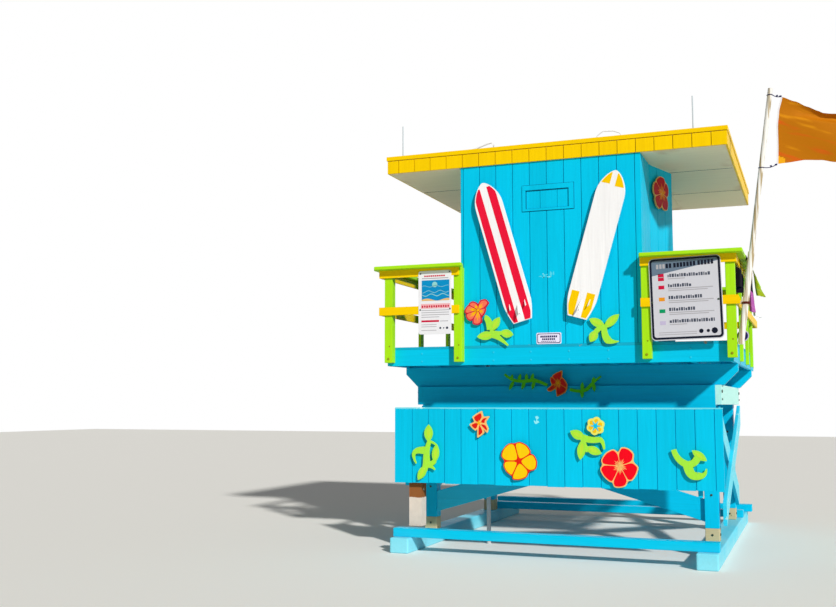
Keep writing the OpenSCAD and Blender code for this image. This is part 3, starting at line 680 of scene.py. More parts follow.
# %% Side walls
FLARE_TOP = (1.124, 1.09)
bends = [(CORNER, LINING), (CORNER, 0.56), FLARE_TOP, (CORNER, 1.62), (CORNER, 2.12)]
for side, name in ((-1, "left_wall_boards"), (1, "right_wall_boards")):
    cladding = bmesh.new()
    for (ax, ay), (bx, by) in zip(bends, bends[1:]):
        long = dist((ax, ay), (bx, by))
        n = max(2, round(long / 0.184))
        spans = [(i / n + GAP / 2 / long, (i + 1) / n - GAP / 2 / long, BOARD, 0) for i in range(n)]
        for s, t, deep, shallow in spans + [(0, 1, LINING, 0.023)]:
            px, py, qx, qy = ax + (bx - ax) * s, ay + (by - ay) * s, ax + (bx - ax) * t, ay + (by - ay) * t
            outline = [(px - deep, py), (px - shallow, py), (qx - shallow, qy), (qx - deep, qy)]
            slab(cladding, [(side * x, y) for x, y in outline], lying(DECK, EAVES))
    finish_piece(name, cladding, "turquoise_side_boards", 0.0015, "side_walls")
print("side walls bend at", [b[1] for b in bends])

# %% [markdown]
# ## Front wall
# The front can't be seen in the photograph. It repeats the rear wall's boards
# around a doorway in the middle, with a plain casing of the same timber.

# %% Front wall
FRONT, DOOR_TOP, DOOR_HALF, CASING = 2.18, DECK + 1.76, 0.45, 0.08
cladding = bmesh.new()
for x0, x1 in zip(seams, seams[1:]):
    a, b = x0 + GAP / 2, x1 - GAP / 2
    if b <= -DOOR_HALF or a >= DOOR_HALF:
        outline = rectangle(a, DECK, b, EAVES)
    elif a >= -DOOR_HALF and b <= DOOR_HALF:
        outline = rectangle(a, DOOR_TOP, b, EAVES)
    elif a < -DOOR_HALF:
        outline = [(a, DECK), (-DOOR_HALF, DECK), (-DOOR_HALF, DOOR_TOP), (b, DOOR_TOP), (b, EAVES),
                   (a, EAVES)]
    else:
        outline = [(DOOR_HALF, DECK), (b, DECK), (b, EAVES), (a, EAVES), (a, DOOR_TOP), (DOOR_HALF, DOOR_TOP)]
    slab(cladding, outline, upright(FRONT - BOARD, FRONT))
for part in ((-INNER, DECK, -DOOR_HALF, EAVES), (DOOR_HALF, DECK, INNER, EAVES),
             (-DOOR_HALF, DOOR_TOP, DOOR_HALF, EAVES)):
    panel(cladding, upright(FRONT - LINING, FRONT - BOARD - 0.001), *part)
for part in ((-0.53, DECK, -0.452, DOOR_TOP + CASING), (0.452, DECK, 0.53, DOOR_TOP + CASING),
             (-DOOR_HALF, DOOR_TOP + 0.002, DOOR_HALF, DOOR_TOP + CASING)):
    panel(cladding, upright(FRONT, FRONT + 0.02), *part)
finish_piece("front_wall_boards", cladding, "turquoise_boards", 0.0015, "front_wall")
print("doorway", 2 * DOOR_HALF, "wide")

# %% [markdown]
# ## Skirt
# Below the deck a row of upright boards hides the beams from behind. They are
# the same boards as the wall's, 183 mm apart, with sawn ends, and a thin lath
# with a planed edge covers their tops and catches the light. The lath's paler
# coat is worn paint and a painted highlight.

# %% Skirt
low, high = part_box("skirt_panel")
skirt_low, skirt_high = low.z, high.z
skirt_y0, skirt_y1 = low.y - BACK, high.y - BACK
left, right = low.x - MID, high.x - MID
SKIRT_START, SKIRT_PITCH = -1.494, 0.18271
skirt_seams = [left] + [SKIRT_START + SKIRT_PITCH * i for i in range(18)] + [right]
boards = bmesh.new()
for i, (x0, x1) in enumerate(zip(skirt_seams, skirt_seams[1:])):
    drop = 0.003 * (i * 7 % 3)
    panel(boards, upright(skirt_y0, skirt_y1), x0 + (GAP / 2 if i else 0), skirt_low + drop, x1 - GAP / 2,
          skirt_high - 0.014)
for x in skirt_seams[1:-1]:
    panel(boards, upright(skirt_y0 + 0.012, skirt_y1 - 0.006), x - 0.008, skirt_low + 0.008, x + 0.008,
          skirt_high - 0.015)
finish_piece("skirt_boards", boards, "turquoise_boards", 0.002, "skirt_panel")
lath = bmesh.new()
profile = [(skirt_y0 - 0.001, skirt_high - 0.013), (skirt_y1, skirt_high - 0.013), (skirt_y1, skirt_high),
           (skirt_y0 + 0.007, skirt_high), (skirt_y0 - 0.001, skirt_high - 0.007)]
for x0, x1 in ((left, -0.02), (-0.018, right)):
    slab(lath, profile, sideways(x0, x1))
finish_piece("skirt_lath", lath, "worn_and_highlit_lath", 0.001)
print("skirt boards", len(skirt_seams) - 1)

# %% [markdown]
# ## Roof
# The roof is a flat box. Short upright boards, 185 mm wide, close its edge,
# and a narrow trim runs along their top. The ceiling below the eaves is made
# of sheets, with a dark joint between two.

# %% Roof edge
EDGE = 0.019
low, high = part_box("fascia")
rx, ry0, ry1 = high.x - MID, low.y - BACK, high.y - BACK
board_low, board_high = low.z, high.z - 0.006
edge = bmesh.new()
marks = [-rx] + [ROOF_START + ROOF_PITCH * i for i in range(19)] + [rx]
for y0, y1 in ((ry0, ry0 + EDGE), (ry1 - EDGE, ry1)):
    for x0, x1 in zip(marks, marks[1:]):
        panel(edge, upright(y0, y1), x0 + GAP / 2, board_low, x1 - GAP / 2, board_high)
run = ry1 - ry0 - 0.04
count = round(run / ROOF_PITCH)
for i in range(count):
    y0, y1 = ry0 + 0.02 + run * i / count, ry0 + 0.02 + run * (i + 1) / count
    for x0, x1 in ((-rx, EDGE - rx), (rx - EDGE, rx)):
        panel(edge, sideways(x0, x1), y0 + GAP / 2, board_low, y1 - GAP / 2, board_high)
finish_piece("roof_edge_boards", edge, "yellow_edge_boards", 0.0015, "fascia")
dress("roof_trim", "yellow_rails", 0.003)
dress("roof_frame", "raw_timber", 0.003)
dress("roof_sheets", "ceiling_paint", 0.0)
dress("whip_rods", "rod_white", 0.0)
print("roof edge boards", 2 * (len(marks) - 1) + 2 * count)

# %% Ceiling sheets and top coat
ceiling = bmesh.new()
under_eaves = lying(EAVES - 0.004, EAVES + 0.001)
joints = [ry0 + 0.021, 1.04, 2.255, ry1 - 0.021]
for y0, y1 in zip(joints, joints[1:]):
    for x0, x1 in ((0.021 - rx, -0.975), (0.975, rx - 0.021)):
        panel(ceiling, under_eaves, x0, y0 + 0.008, x1, y1 - 0.008)
panel(ceiling, under_eaves, -0.969, 2.27, 0.969, ry1 - 0.024)
for y in joints[1:-1]:
    for x0, x1 in ((0.03 - rx, -0.99), (0.99, rx - 0.03)):
        panel(ceiling, lying(EAVES - 0.0045, EAVES), x0, y - 0.007, x1, y + 0.007, 1)
finish_piece("ceiling_sheets", ceiling, "ceiling_paint shaded_gap")
top = bmesh.new()
panel(top, lying(high.z - 0.002, high.z + 0.004), 0.04 - rx, ry0 + 0.04, rx - 0.04, ry1 - 0.04)
finish_piece("roof_coat", top, "roof_coat")
print("ceiling joints at", joints[1:-1])

# %% [markdown]
# ## Railing
# Lime posts and caps, yellow boards. The CAD solids are exact, so they get
# paint and bevels. Behind, the caps have a second board along their outer
# edge. It shades the yellow board below it and the top of the signs.

# %% Railing
for name, coat, bevel, segments in (
        ("rail_posts", "lime_posts", 0.004, 2), ("stanchions", "lime_posts", 0.003, 2),
        ("rail_caps", "lime_caps", 0.006, 3), ("rail_aprons", "yellow_rails", 0.003, 2),
        ("mid_rails", "yellow_rails", 0.003, 2)):
    dress(name, coat, bevel, segments)
nosing = bmesh.new()
cap_low, cap_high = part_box("rail_caps")
cap_face = cap_low.y - BACK
for x0, x1 in ((-1.889, -0.897), (0.95, 1.922)):
    panel(nosing, upright(cap_face - 0.072, cap_face - 0.002), x0, cap_low.z, x1, cap_high.z)
finish_piece("rail_cap_nosing", nosing, "lime_caps", 0.008, segments=3)
print("cap nosing", round(cap_high.z - cap_low.z, 3), "thick")

# %% [markdown]
# ## Bolts
# Galvanised bolts hold the rim, the posts and the girders. `bolt` makes one
# round head with a chamfer, and a list of places puts it where the joints are.

# %% Bolts
BACKWARD, LEFTWARD, RIGHTWARD = (0, -1, 0), (-1, 0, 0), (1, 0, 0)
GIRDER_FACE, POST_X, POST_SIDE = 1.641, 1.508, 1.578


def hoop(mesh, centre, turn, radius, sides, up=0.0):
    """A ring of points round a centre, in a plane that is turned."""
    return [mesh.verts.new(centre + turn @ Vector((u, v, up))) for u, v in ring(0, 0, radius, sides)]


def bolt(mesh, centre, axis, radius, height, index=0):
    turn = Vector(axis).to_track_quat("Z", "Y").to_matrix()
    rings = [hoop(mesh, centre, turn, radius * share, 10, height * up)
             for share, up in ((1.0, 0.0), (1.0, 0.55), (0.72, 1.0))]
    for a, b in zip(rings, rings[1:]):
        bridge(mesh, a, b, index)
    mesh.faces.new(rings[-1]).material_index = index


rim_low, rim_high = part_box("deck_rim")
bolts = bmesh.new()
half = rim_high.x - MID
for i in range(1, 9):
    for up in (0.045, 0.13):
        bolt(bolts, at(-half + 2 * half * i / 9, 0, rim_low.z + up), BACKWARD, 0.0095, 0.005, 1)
for x in (-1.757, -0.966, 0.994, 1.797):
    bolt(bolts, at(x, -0.089, rim_low.z + 0.075), BACKWARD, 0.013, 0.007, 2)
    bolt(bolts, at(x + 0.012, -0.089, rim_low.z + 0.21), BACKWARD, 0.008, 0.004, 2)
for side in (LEFTWARD, RIGHTWARD):
    x = side[0]
    for y in (0.518, 2.86):
        bolt(bolts, at(x * GIRDER_FACE, y, 1.66), side, 0.017, 0.009)
        bolt(bolts, at(x * GIRDER_FACE, y + 0.02, 1.58), side, 0.012, 0.007)
    for y in (0.538, 2.7):
        for z in (0.225, 0.62, 1.2):
            bolt(bolts, at(x * POST_X, y, z), BACKWARD, 0.012, 0.007)
    for y in (0.608, 2.77):
        bolt(bolts, at(x * POST_SIDE, y, 0.225), side, 0.014, 0.008)
print("bolts", sum(len(face.verts) == 10 for face in bolts.faces))
finish_piece("bolts", bolts, "weathered_bolts painted_bolts rusty_painted_bolts")

# %% [markdown]
# ## Surfboards
# Two flat boards in the shape of surfboards lean on the wall. The outline
# narrows to a round nose and to a square tail, by the same rule as in the
# CAD. Stripes are thin raised coats that are clipped to that outline, and
# three fins stand on the striped board's tail, and two on the other's.

# %% Surfboards
SURF_LENGTH, SURF_WIDTH = 1.54, 0.302
LEAN = radians(16)
SURFBOARDS = {"striped": (-0.48, DECK + 0.981, LEAN), "plain": (0.513, DECK + 1.001, -LEAN)}
surf_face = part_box("striped_board")[0].y - BACK


def half_width(t):
    """Half the board's width at a share t of its length, from the nose."""
    if t < 0.17:
        return SURF_WIDTH / 2 * sin(t / 0.17 * pi / 2) ** 0.62
    return SURF_WIDTH / 2 * (1 if t < 0.86 else 1 - 0.34 * ((t - 0.86) / 0.14) ** 1.5)


def on_board(which, u, v, proud):
    """A place on a surfboard, across and up from its middle."""
    x, z, lean = SURFBOARDS[which]
    return at(x + u * cos(lean) - v * sin(lean), surf_face - proud, z + u * sin(lean) + v * cos(lean))


def stripe(which, a0, a1, t0, t1, margin=0.011, steps=40):
    """The part of a band, from a0 to a1 across, that lies on the board."""
    lefts, rights = [], []
    for i in range(steps + 1):
        t = t0 + (t1 - t0) * i / steps
        h = half_width(min(max(t, 0.0), 1.0)) - margin
        l, r = max(a0, -h), min(a1, h)
        if r - l > 0.002:
            lefts.append((l, t))
            rights.append((r, t))
    return lefts + rights[::-1], lambda a, t, d: on_board(
        which, a, SURF_LENGTH * (0.5 - t), 0.0017 * d - 0.0005)


dress("striped_board", "white_enamel", 0.007, 3)
dress("white_board", "white_enamel", 0.007, 3)
stripes = bmesh.new()
for a0, a1 in ((-0.128, -0.047), (0.030, 0.113)):
    slab(stripes, *stripe("striped", a0, a1, 0.012, 0.996))
finish_piece("red_stripes", stripes, "red_enamel")
patches = bmesh.new()
for a0, a1, t0, t1 in ((-0.15, -0.028, 0.012, 0.095), (0.028, 0.15, 0.012, 0.105),
                       (-0.122, -0.042, 0.83, 0.992), (0.037, 0.122, 0.825, 0.992)):
    slab(patches, *stripe("plain", a0, a1, t0, t1, 0.012, 14))
finish_piece("yellow_patches", patches, "board_yellow")
print("surfboards", SURF_LENGTH, "by", SURF_WIDTH)

# %% Surfboard fins
FIN = [(-0.055, 0), (0.055, 0), (0.04, 0.03), (0.075, 0.075), (0.03, 0.07), (-0.02, 0.035)]
FIN_THICKNESS = 0.006
fins = bmesh.new()
for which, places in (("striped", ((0.0, 0.915, 1.0), (0.085, 0.885, 0.6), (-0.085, 0.885, 0.6))),
                      ("plain", ((0.0, 0.915, 1.0), (0.085, 0.885, 0.6)))):
    for a, t, size in places:
        slab(fins, FIN, lambda v, w, d: on_board(
            which, a + (d - 0.5) * FIN_THICKNESS, SURF_LENGTH * (0.5 - t) - v * size, w * size))
finish_piece("surfboard_fins", fins, "white_enamel", 0.0015)
print("surfboards lean", round(degrees(LEAN), 1), "degrees")

# %% [markdown]
# ## Flowers
# The flowers are sawn from sheet and painted: an outline colour over the
# whole shape, then each petal filled in, so that a line of the outline colour
# is left round it. `petal_fills` repeats the outline's rule from the CAD and
# draws each petal a little smaller.

# %% Petals


def polar(angle, reach):
    return Vector((cos(radians(angle)), sin(radians(angle)))) * reach


def rounded(outline, share):
    """Rounds each corner by a share of the sides that meet there."""
    done = []
    for i, p in enumerate(outline):
        a = p + share * (outline[i - 1] - p)
        b = p + share * (outline[(i + 1) % len(outline)] - p)
        done += [a, (a + 2 * p + b) / 4, b]
    return done


def drawn_in(outline, margins):
    """Moves each side of a counter-clockwise outline inward by its own margin."""
    n, done = len(outline), []
    for i, p in enumerate(outline):
        before, after = (p - outline[i - 1]).normalized(), (outline[(i + 1) % n] - p).normalized()
        m0, m1 = margins[i - 1], margins[i]
        turn = before.cross(after)
        if abs(turn) < 0.05:
            done.append(p + Vector((-before.y, before.x)) * max(m0, m1))
        else:
            done.append(p + (after * m0 - before * m1) / turn)
    return done


def petal_fills(flower, line, edge):
    """Each petal's fill: its share of the flower, less half a line and the edge."""
    shapes = []
    for k, (a0, r0, rm, a1, r1, notch) in enumerate(flower):
        before, after = flower[k - 1], flower[(k + 1) % len(flower)]
        last_before = before[3] - (360 if k == 0 else 0)
        first_after = after[0] + (360 if k == len(flower) - 1 else 0)
        cell = [Vector((0, 0))] + [polar(angle, reach / 1000) for angle, reach in (
            ((last_before + a0) / 2, before[5]), (a0, r0), ((a0 + a1) / 2, rm), (a1, r1),
            ((a1 + first_after) / 2, notch))]
        shapes.append(rounded(rounded(drawn_in(cell, [line, edge, edge, edge, edge, line]), 0.3), 0.3))
    return shapes


def petal_streaks(flower, low, high, wide, many=3):
    """Thin tapered strokes that run out from the heart along each petal."""
    strokes = []
    for a0, r0, rm, a1, r1, notch in flower:
        for k in range(many):
            angle = a0 + (a1 - a0) * (k + 0.5) / many
            reach = high * (min(r0, rm, r1) / 1000) * (1.0 if k % 2 else 0.8)
            foot, waist, aside = polar(angle, low), polar(angle, reach * 0.7), polar(angle + 90, wide / 2)
            strokes.append([foot - aside * 0.6, waist - aside, polar(angle, reach), waist + aside,
                            foot + aside * 0.6])
    return strokes


def star(points, outer, inner, turn):
    return [polar(turn + 180 * i / points, (outer, inner)[i % 2]) for i in range(2 * points)]


print("a star with five points has", len(star(5, 1.0, 0.3, 0)), "corners")

# %% Planes of the flowers
CUT = 0.036
FLARE_MIDDLE = (1.042, 0.825)
flare = atan2(0.53, 0.164)


def on_flare(u, v, d):
    """Outlines on the flared part of the right side wall, in front of the cut-outs."""
    out = CUT - 0.001 + 0.003 * d
    x, y = FLARE_MIDDLE[0] + u * cos(flare), FLARE_MIDDLE[1] + u * sin(flare)
    return at(x + out * sin(flare), y - out * cos(flare), DECK + v)


def on_cutout(y, more=0.0):
    """Outlines on the front of cut-outs that are fixed at a depth y."""
    return upright(y - CUT - 0.0018 - more, y - CUT + 0.001)


print("side wall is bent by", round(90 - degrees(flare), 1), "degrees")

# %% Flowers
# each petal's first angle and reach, middle reach, last angle and reach, and the notch after it, in mm
STAR = [(-50, 133, 126, -28, 117, 81), (12, 78, 101, 32, 137, 79), (76, 133, 100, 141, 98, 51),
        (188, 110, 92, 245, 89, 64), (262, 156, 130, 301, 114, 75)]
GOLD = [(-26, 195, 191, 22, 170, 138), (41, 162, 183, 89, 196, 181), (120, 207, 208, 167, 200, 149),
        (195, 175, 178, 238, 174, 166), (250, 205, 191, 297, 183, 143)]
HIBISCUS = [(-50, 185, 179, -2, 184, 131), (40, 185, 194, 86, 189, 127), (110, 179, 190, 164, 198, 172),
            (190, 206, 197, 236, 190, 178), (253, 219, 213, 285, 204, 162)]
SMALL = [(60 * k, 86, 95, 60 * k + 38, 86, 76) for k in range(6)]
WALL = [(-50, 85, 84, 2, 88, 84), (29, 144, 144, 78, 107, 58), (101, 82, 116, 143, 125, 119),
        (159, 131, 146, 188, 154, 137), (203, 151, 153, 232, 147, 121), (247, 159, 160, 287, 144, 82)]
BEAM = [(-12, 104, 83, 42, 77, 76), (70, 146, 111, 126, 103, 91), (142, 105, 88, 188, 74, 73),
        (208, 140, 140, 229, 120, 64), (263, 147, 129, 308, 128, 113)]
SIDE = [(-2, 144, 171, 46, 172, 154), (75, 184, 192, 137, 196, 185), (151, 207, 228, 188, 215, 182),
        (205, 212, 218, 246, 205, 143), (279, 183, 208, 330, 162, 110)]
BLOOMS = [
    # name, outline, middle and depth, edge, fill and heart, half a line, width of the edge, heart's
    # points and size, and the streaks' start, reach, width and colour
    ("skirt_star_flower", STAR, (-0.735, skirt_low + 0.635), skirt_y0, "edge_peach petal_deep_red petal_gold",
     0.009, 0.015, 5, 0.035, None),
    ("skirt_gold_flower", GOLD, (-0.311, skirt_low + 0.255), skirt_y0, "edge_red petal_lemon edge_red",
     0.006, 0.010, 5, 0.04, None),
    ("skirt_small_flower", SMALL, (0.477, skirt_low + 0.614), skirt_y0,
     "petal_pale petal_amber turquoise_boards", 0.008, 0.02, 6, 0.06, None),
    ("skirt_hibiscus", HIBISCUS, (0.712, skirt_low + 0.227), skirt_y0, "edge_peach petal_red edge_peach",
     0.004, 0.011, 9, 0.028, (0.018, 0.42, 0.007, "edge_peach")),
    ("wall_flower", WALL, (-0.757, DECK + 0.374), 0.0, "petal_crimson petal_coral petal_gold",
     0.004, 0.013, 6, 0.03, (0.024, 0.84, 0.011, "petal_gold")),
    ("beam_flower", BEAM, (-0.025, 1.525 + 0.229), 0.478, "edge_orange petal_deep_red petal_gold",
     0.004, 0.009, 8, 0.03, (0.024, 0.5, 0.011, "edge_orange")),
    # the side flower's darker red fill is painted shade
    ("side_flower", SIDE, (-0.037, 1.639), None, "edge_peach petal_wine petal_gold",
     0.004, 0.009, 8, 0.024, (0.024, 0.6, 0.011, "edge_orange")),
]
edges = ["edge_peach", "edge_red", "petal_pale", "edge_orange", "petal_crimson"]
flowers = dress("flowers", " ".join(edges), 0.002)
for name, flower, (x, z), y, colours, line, edge, points, size, streak in BLOOMS:
    edge_coat, fill_coat, heart_coat = colours.split()
    on_side = y is None
    fill_plane = on_flare if on_side else on_cutout(y)
    heart_plane = (lambda u, v, d: on_flare(u, v, 0.8 + d)) if on_side else on_cutout(y, 0.0016)
    streak_plane = (lambda u, v, d: on_flare(u, v, 0.4 + d)) if on_side else on_cutout(y, 0.0008)
    layers = [(shape, fill_plane, 0) for shape in petal_fills(flower, line, edge)]
    layers.append((star(points, size, size * 0.3, flower[0][0]), heart_plane, 1))
    if streak:
        layers += [(shape, streak_plane, 2) for shape in petal_streaks(flower, *streak[:3])]
    coat = bmesh.new()
    for shape, plane, index in layers:
        slab(coat, [(x + p.x, z + p.y) for p in shape], plane, index)
    streak_coat = streak[3] if streak else heart_coat
    finish_piece(name, coat, f"{fill_coat} {heart_coat} {streak_coat}")
    centre = on_flare(x, z, 0) if on_side else at(x, y - CUT, z)
    for face in flowers.data.polygons:
        if (face.center - centre).length < 0.24 and edges.index(edge_coat):
            face.material_index = edges.index(edge_coat)
print("flowers", len(BLOOMS))

# %% [markdown]
# ## Leaves and vine
# The leaves are sawn from the same sheet and painted lime, with a paler heart
# on each of them.

# %% Leaves and vine
dress("leaves", "lime_leaves", 0.003)
dress("vine", "vine_green", 0.002)
LEAVES = [
    # depth of the face, foot, then each leaf's two ends and half width in mm
    (skirt_y0, skirt_low, [
        (-1297, 432, -1294, 616, 48), (-1320, 195, -1415, 34, 42), (-1228, 218, -1205, 412, 40),
        (220, 562, 368, 488, 46), (348, 480, 316, 277, 43), (372, 402, 532, 342, 42),
        (1399, 390, 1536, 290, 36)]),
    (0.0, DECK, [(-618, 150, -522, 293, 42), (-575, 112, -772, 92, 46), (-520, 134, -376, 104, 44),
                 (418, 246, 576, 164, 42), (720, 284, 568, 150, 42), (494, 130, 424, 11, 44)]),
]
hearts = bmesh.new()
for y, foot, group in LEAVES:
    for x0, z0, x1, z1, w in group:
        p, q = Vector((x0, z0)) / 1000, Vector((x1, z1)) / 1000
        along, middle = (q - p) * 0.31, (p + q) / 2
        side = Vector((-along.y, along.x)).normalized() * w / 1000 * 0.42
        heart = [middle + along * c + side * s for c, s in ring(0, 0, 1, 18)]
        slab(hearts, [(v.x, foot + v.y) for v in heart], upright(y - CUT - 0.0008, y - CUT + 0.001))
finish_piece("leaf_hearts", hearts, "leaf_gold")
print("leaves", sum(len(group) for y, foot, group in LEAVES))

# %% [markdown]
# ## Signs
# Both signs are enamelled sheets with round corners. They carry no words:
# rows of bars stand for lines of print, and the coloured marks are plain
# flags. All of it is thin raised colour on the sheet.

# %% Signs
SIGN_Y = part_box("safety_sign")[1].y - BACK
W, H = 0.684, 0.808
BIG = (1.383, SIGN_Y, DECK + 0.412, radians(1.3))


def round_rectangle(u0, v0, u1, v1, r, steps=6):
    outline = []
    for cx, cy, start in ((u1 - r, v0 + r, -90), (u1 - r, v1 - r, 0), (u0 + r, v1 - r, 90),
                          (u0 + r, v0 + r, 180)):
        for i in range(steps + 1):
            a = radians(start + 90 * i / steps)
            outline.append((cx + r * cos(a), cy + r * sin(a)))
    return outline


def on_sign(sign, near, far):
    """Outlines on a sign: its middle, its tilt, and how far they stand in front of it."""
    x, y, z, tilt = sign
    c, s = cos(tilt), sin(tilt)
    return lambda u, v, d: at(x + u * c - v * s, y - near - (far - near) * d, z + u * s + v * c)


sheet = bmesh.new()
slab(sheet, round_rectangle(-W / 2, -H / 2, W / 2, H / 2, 0.045), on_sign(BIG, 0, 0.004))
finish_piece("warning_sheet", sheet, "sign_white", 0.001, "warning_sign")
marks = bmesh.new()
on_sheet, on_band = on_sign(BIG, 0.0035, 0.005), on_sign(BIG, 0.0045, 0.006)
LINE, SLATE, INK, FAINT, RED, ORANGE, GREEN, LILAC = range(8)
outer = round_rectangle(-W / 2 + 0.007, -H / 2 + 0.01, W / 2 - 0.007, H / 2 - 0.005, 0.038)
inner = round_rectangle(-W / 2 + 0.028, -H / 2 + 0.031, W / 2 - 0.028, H / 2 - 0.025, 0.022)
for i in range(len(outer)):
    slab(marks, [outer[i - 1], outer[i], inner[i], inner[i - 1]], on_sheet, LINE)
slab(marks, [(-0.315, 0.378), (0.315, 0.378), (0.315, 0.35), (-0.315, 0.232)], on_sheet, SLATE)
for i in range(17):
    u, v = -0.27 + i * 0.031 + (0.012 if i > 4 else 0) + (0.012 if i > 11 else 0), i * 0.0012
    panel(marks, on_band, u, 0.3 + v, u + 0.022, 0.344 + v, LINE if i > 2 else FAINT)
rows = ((0.216, RED, 0.4, 0.07), (0.117, RED, 0.21, 0.036), (0.0, ORANGE, 0.3, 0.036),
        (-0.116, GREEN, 0.25, 0.036), (-0.232, LILAC, 0.42, 0.036))
for row, (v, colour, long, tall) in enumerate(rows):
    panel(marks, on_sheet, -0.256, v - tall / 2, -0.2, v + tall / 2, colour)
    start, k = -0.163, 0
    while start < -0.163 + long:
        step = 0.01 + 0.014 * ((k * 7 + row) % 5) / 5
        top = v + (0.03 if (k * 3 + row) % 4 else 0.022)
        panel(marks, on_sheet, start, v - 0.002, start + step, top, INK)
        start, k = start + step + 0.007, k + 1
    short = row in (0, 4)
    for k in range(1 if short else 2):
        end = 0.0 if short else 0.26 - 0.05 * k
        panel(marks, on_sheet, -0.163, v - 0.022 - k * 0.018, end, v - 0.014 - k * 0.018, FAINT)
panel(marks, on_band, -0.252, 0.213, -0.204, 0.219, FAINT)
for v in (-0.33, -0.35):
    panel(marks, on_sheet, -0.27, v, 0.09, v + 0.006, FAINT)
for u, r in ((0.13, 0.022), (0.195, 0.016), (0.255, 0.03)):
    slab(marks, ring(u, -0.325, r, 8), on_sheet, LINE)
finish_piece("warning_marks", marks,
             "sign_line sign_slate sign_ink sign_faint_ink sign_red sign_orange sign_green sign_lilac")
print("large sign", W, "by", H)

# %% [markdown]
# ## Small sign
# The small sign has a red heading, a picture and a few lines of print. The
# picture is generic: a blue field with wavy lines and a round spot. It could
# be an image, but slabs of colour keep their edge sharp at any distance.

# %% Safety sign
W2, H2 = 0.372, 0.679
LITTLE = (-1.213, SIGN_Y, DECK + 0.4655, 0.0)
sheet = bmesh.new()
slab(sheet, round_rectangle(-W2 / 2, -H2 / 2, W2 / 2, H2 / 2, 0.025), on_sign(LITTLE, 0, 0.004))
finish_piece("safety_sheet", sheet, "sheet_white", 0.001, "safety_sign")
marks = bmesh.new()
on_sheet, on_picture = on_sign(LITTLE, 0.0035, 0.005), on_sign(LITTLE, 0.0045, 0.006)
BLUE, MINT, SLATE, RED, FAINT, INK, PINK, BUFF = range(8)
for k in range(10):
    panel(marks, on_sheet, -0.12 + k * 0.024, 0.275, -0.101 + k * 0.024, 0.29, RED)
slab(marks, round_rectangle(-0.148, 0.018, 0.166, 0.238, 0.006), on_sheet, BLUE)
for v0, bend, thick in ((0.075, 0.012, 0.008), (0.112, 0.012, 0.005), (0.17, 0.008, 0.004)):
    wavy = [(-0.142 + 0.302 * i / 16, v0 + bend * sin(i * 0.9 + v0 * 40)) for i in range(17)]
    slab(marks, wavy + [(u, v + thick) for u, v in wavy[::-1]], on_picture, MINT)
hill = [(-0.148 + 0.314 * i / 12, 0.03 + 0.012 * sin(i * 0.7)) for i in range(13)]
slab(marks, [(-0.148, 0.018)] + hill + [(0.166, 0.018)], on_picture, BUFF)
slab(marks, ring(0.0, 0.19, 0.03, 12), on_picture, MINT)
for k in range(12):
    panel(marks, on_picture, -0.148 + k * 0.0265, -0.056 + 0.004 * (k % 2), -0.131 + k * 0.0265, -0.032, RED)
for bar in ((-0.145, 0.253, 0.155, 0.262, FAINT), (-0.158, -0.066, 0.172, -0.014, PINK),
            (-0.152, -0.21, 0.048, -0.19, RED), (0.06, -0.205, 0.15, -0.198, FAINT)):
    panel(marks, on_sheet, *bar)
for v, end, tall in ((-0.088, 0.16, 0.007), (-0.112, 0.16, 0.007), (-0.136, 0.16, 0.007),
                     (-0.16, 0.05, 0.007), (-0.24, 0.02, 0.006), (-0.262, 0.02, 0.006), (-0.3, 0.02, 0.006)):
    panel(marks, on_sheet, -0.152, v, end, v + tall, FAINT)
for u, r in ((0.062, 0.012), (0.1, 0.008), (0.138, 0.014)):
    slab(marks, ring(u, -0.275, r, 8), on_sheet, INK)
finish_piece("safety_marks", marks,
             "sign_blue sign_mint sign_slate sign_red sign_faint_ink sign_ink sign_pink sign_buff")
screws = bmesh.new()
for x, z, radius in ((-1.375, 2.918, 0.009), (-1.045, 2.93, 0.009), (-1.378, 2.53, 0.009),
                     (-1.042, 2.534, 0.009), (1.062, 2.52, 0.01), (1.687, 2.534, 0.01)):
    bolt(screws, at(x, SIGN_Y - 0.004, z), BACKWARD, radius, 0.005)
finish_piece("sign_screws", screws, "weathered_bolts")
print("small sign", W2, "by", H2)

# %% [markdown]
# ## Plaque
# A little white plate with a navy line sits at the foot of the wall. It is
# three plates that grow smaller, one on the other, in two coats by turns.

# %% Plaque
PLAQUE_WIDTH, PLAQUE_HEIGHT = 0.26, 0.116
PLAQUE = (-0.007, 0.0, DECK + 0.061, 0)
plaque = bmesh.new()
for near, far, grow, index in ((0.0, 0.004, 0.0, 0), (0.0035, 0.005, 0.009, 1), (0.0045, 0.006, 0.016, 0)):
    wide, tall = PLAQUE_WIDTH / 2 - grow, PLAQUE_HEIGHT / 2 - grow
    outline = round_rectangle(-wide, -tall, wide, tall, 0.014)
    slab(plaque, outline, on_sign(PLAQUE, near, far), index)
for v, start, end, tall in ((0.008, -0.088, 0.088, 0.02), (-0.018, -0.07, 0.07, 0.018),
                            (-0.034, -0.08, 0.08, 0.006)):
    u = start
    while u < end:
        panel(plaque, on_sign(PLAQUE, 0.0055, 0.007), u, v, min(end, u + 0.015), v + tall, 1)
        u += 0.02
finish_piece("plaque", plaque, "plaque_white navy_enamel")
print("plaque", PLAQUE_WIDTH, "by", PLAQUE_HEIGHT)

# %% [markdown]
# ## Flagpole
# A white pole leans out beside the railing, in a wider sleeve, and is tied to
# the middle rail. It is round, so it and the other thin rods are shaded
# smooth, and split only at their sharp ends.

# %% Flagpole
dress("pole_sleeve", "pole_white", 0.0)
dress("flagpole", "pole_white", 0.0)
for name in ("pole_sleeve", "flagpole", "stand_pipe", "whip_rods", "pegs"):
    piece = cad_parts[name]
    piece.data.polygons.foreach_set("use_smooth", [True] * len(piece.data.polygons))
    piece.modifiers.new("split", "EDGE_SPLIT").split_angle = radians(40)

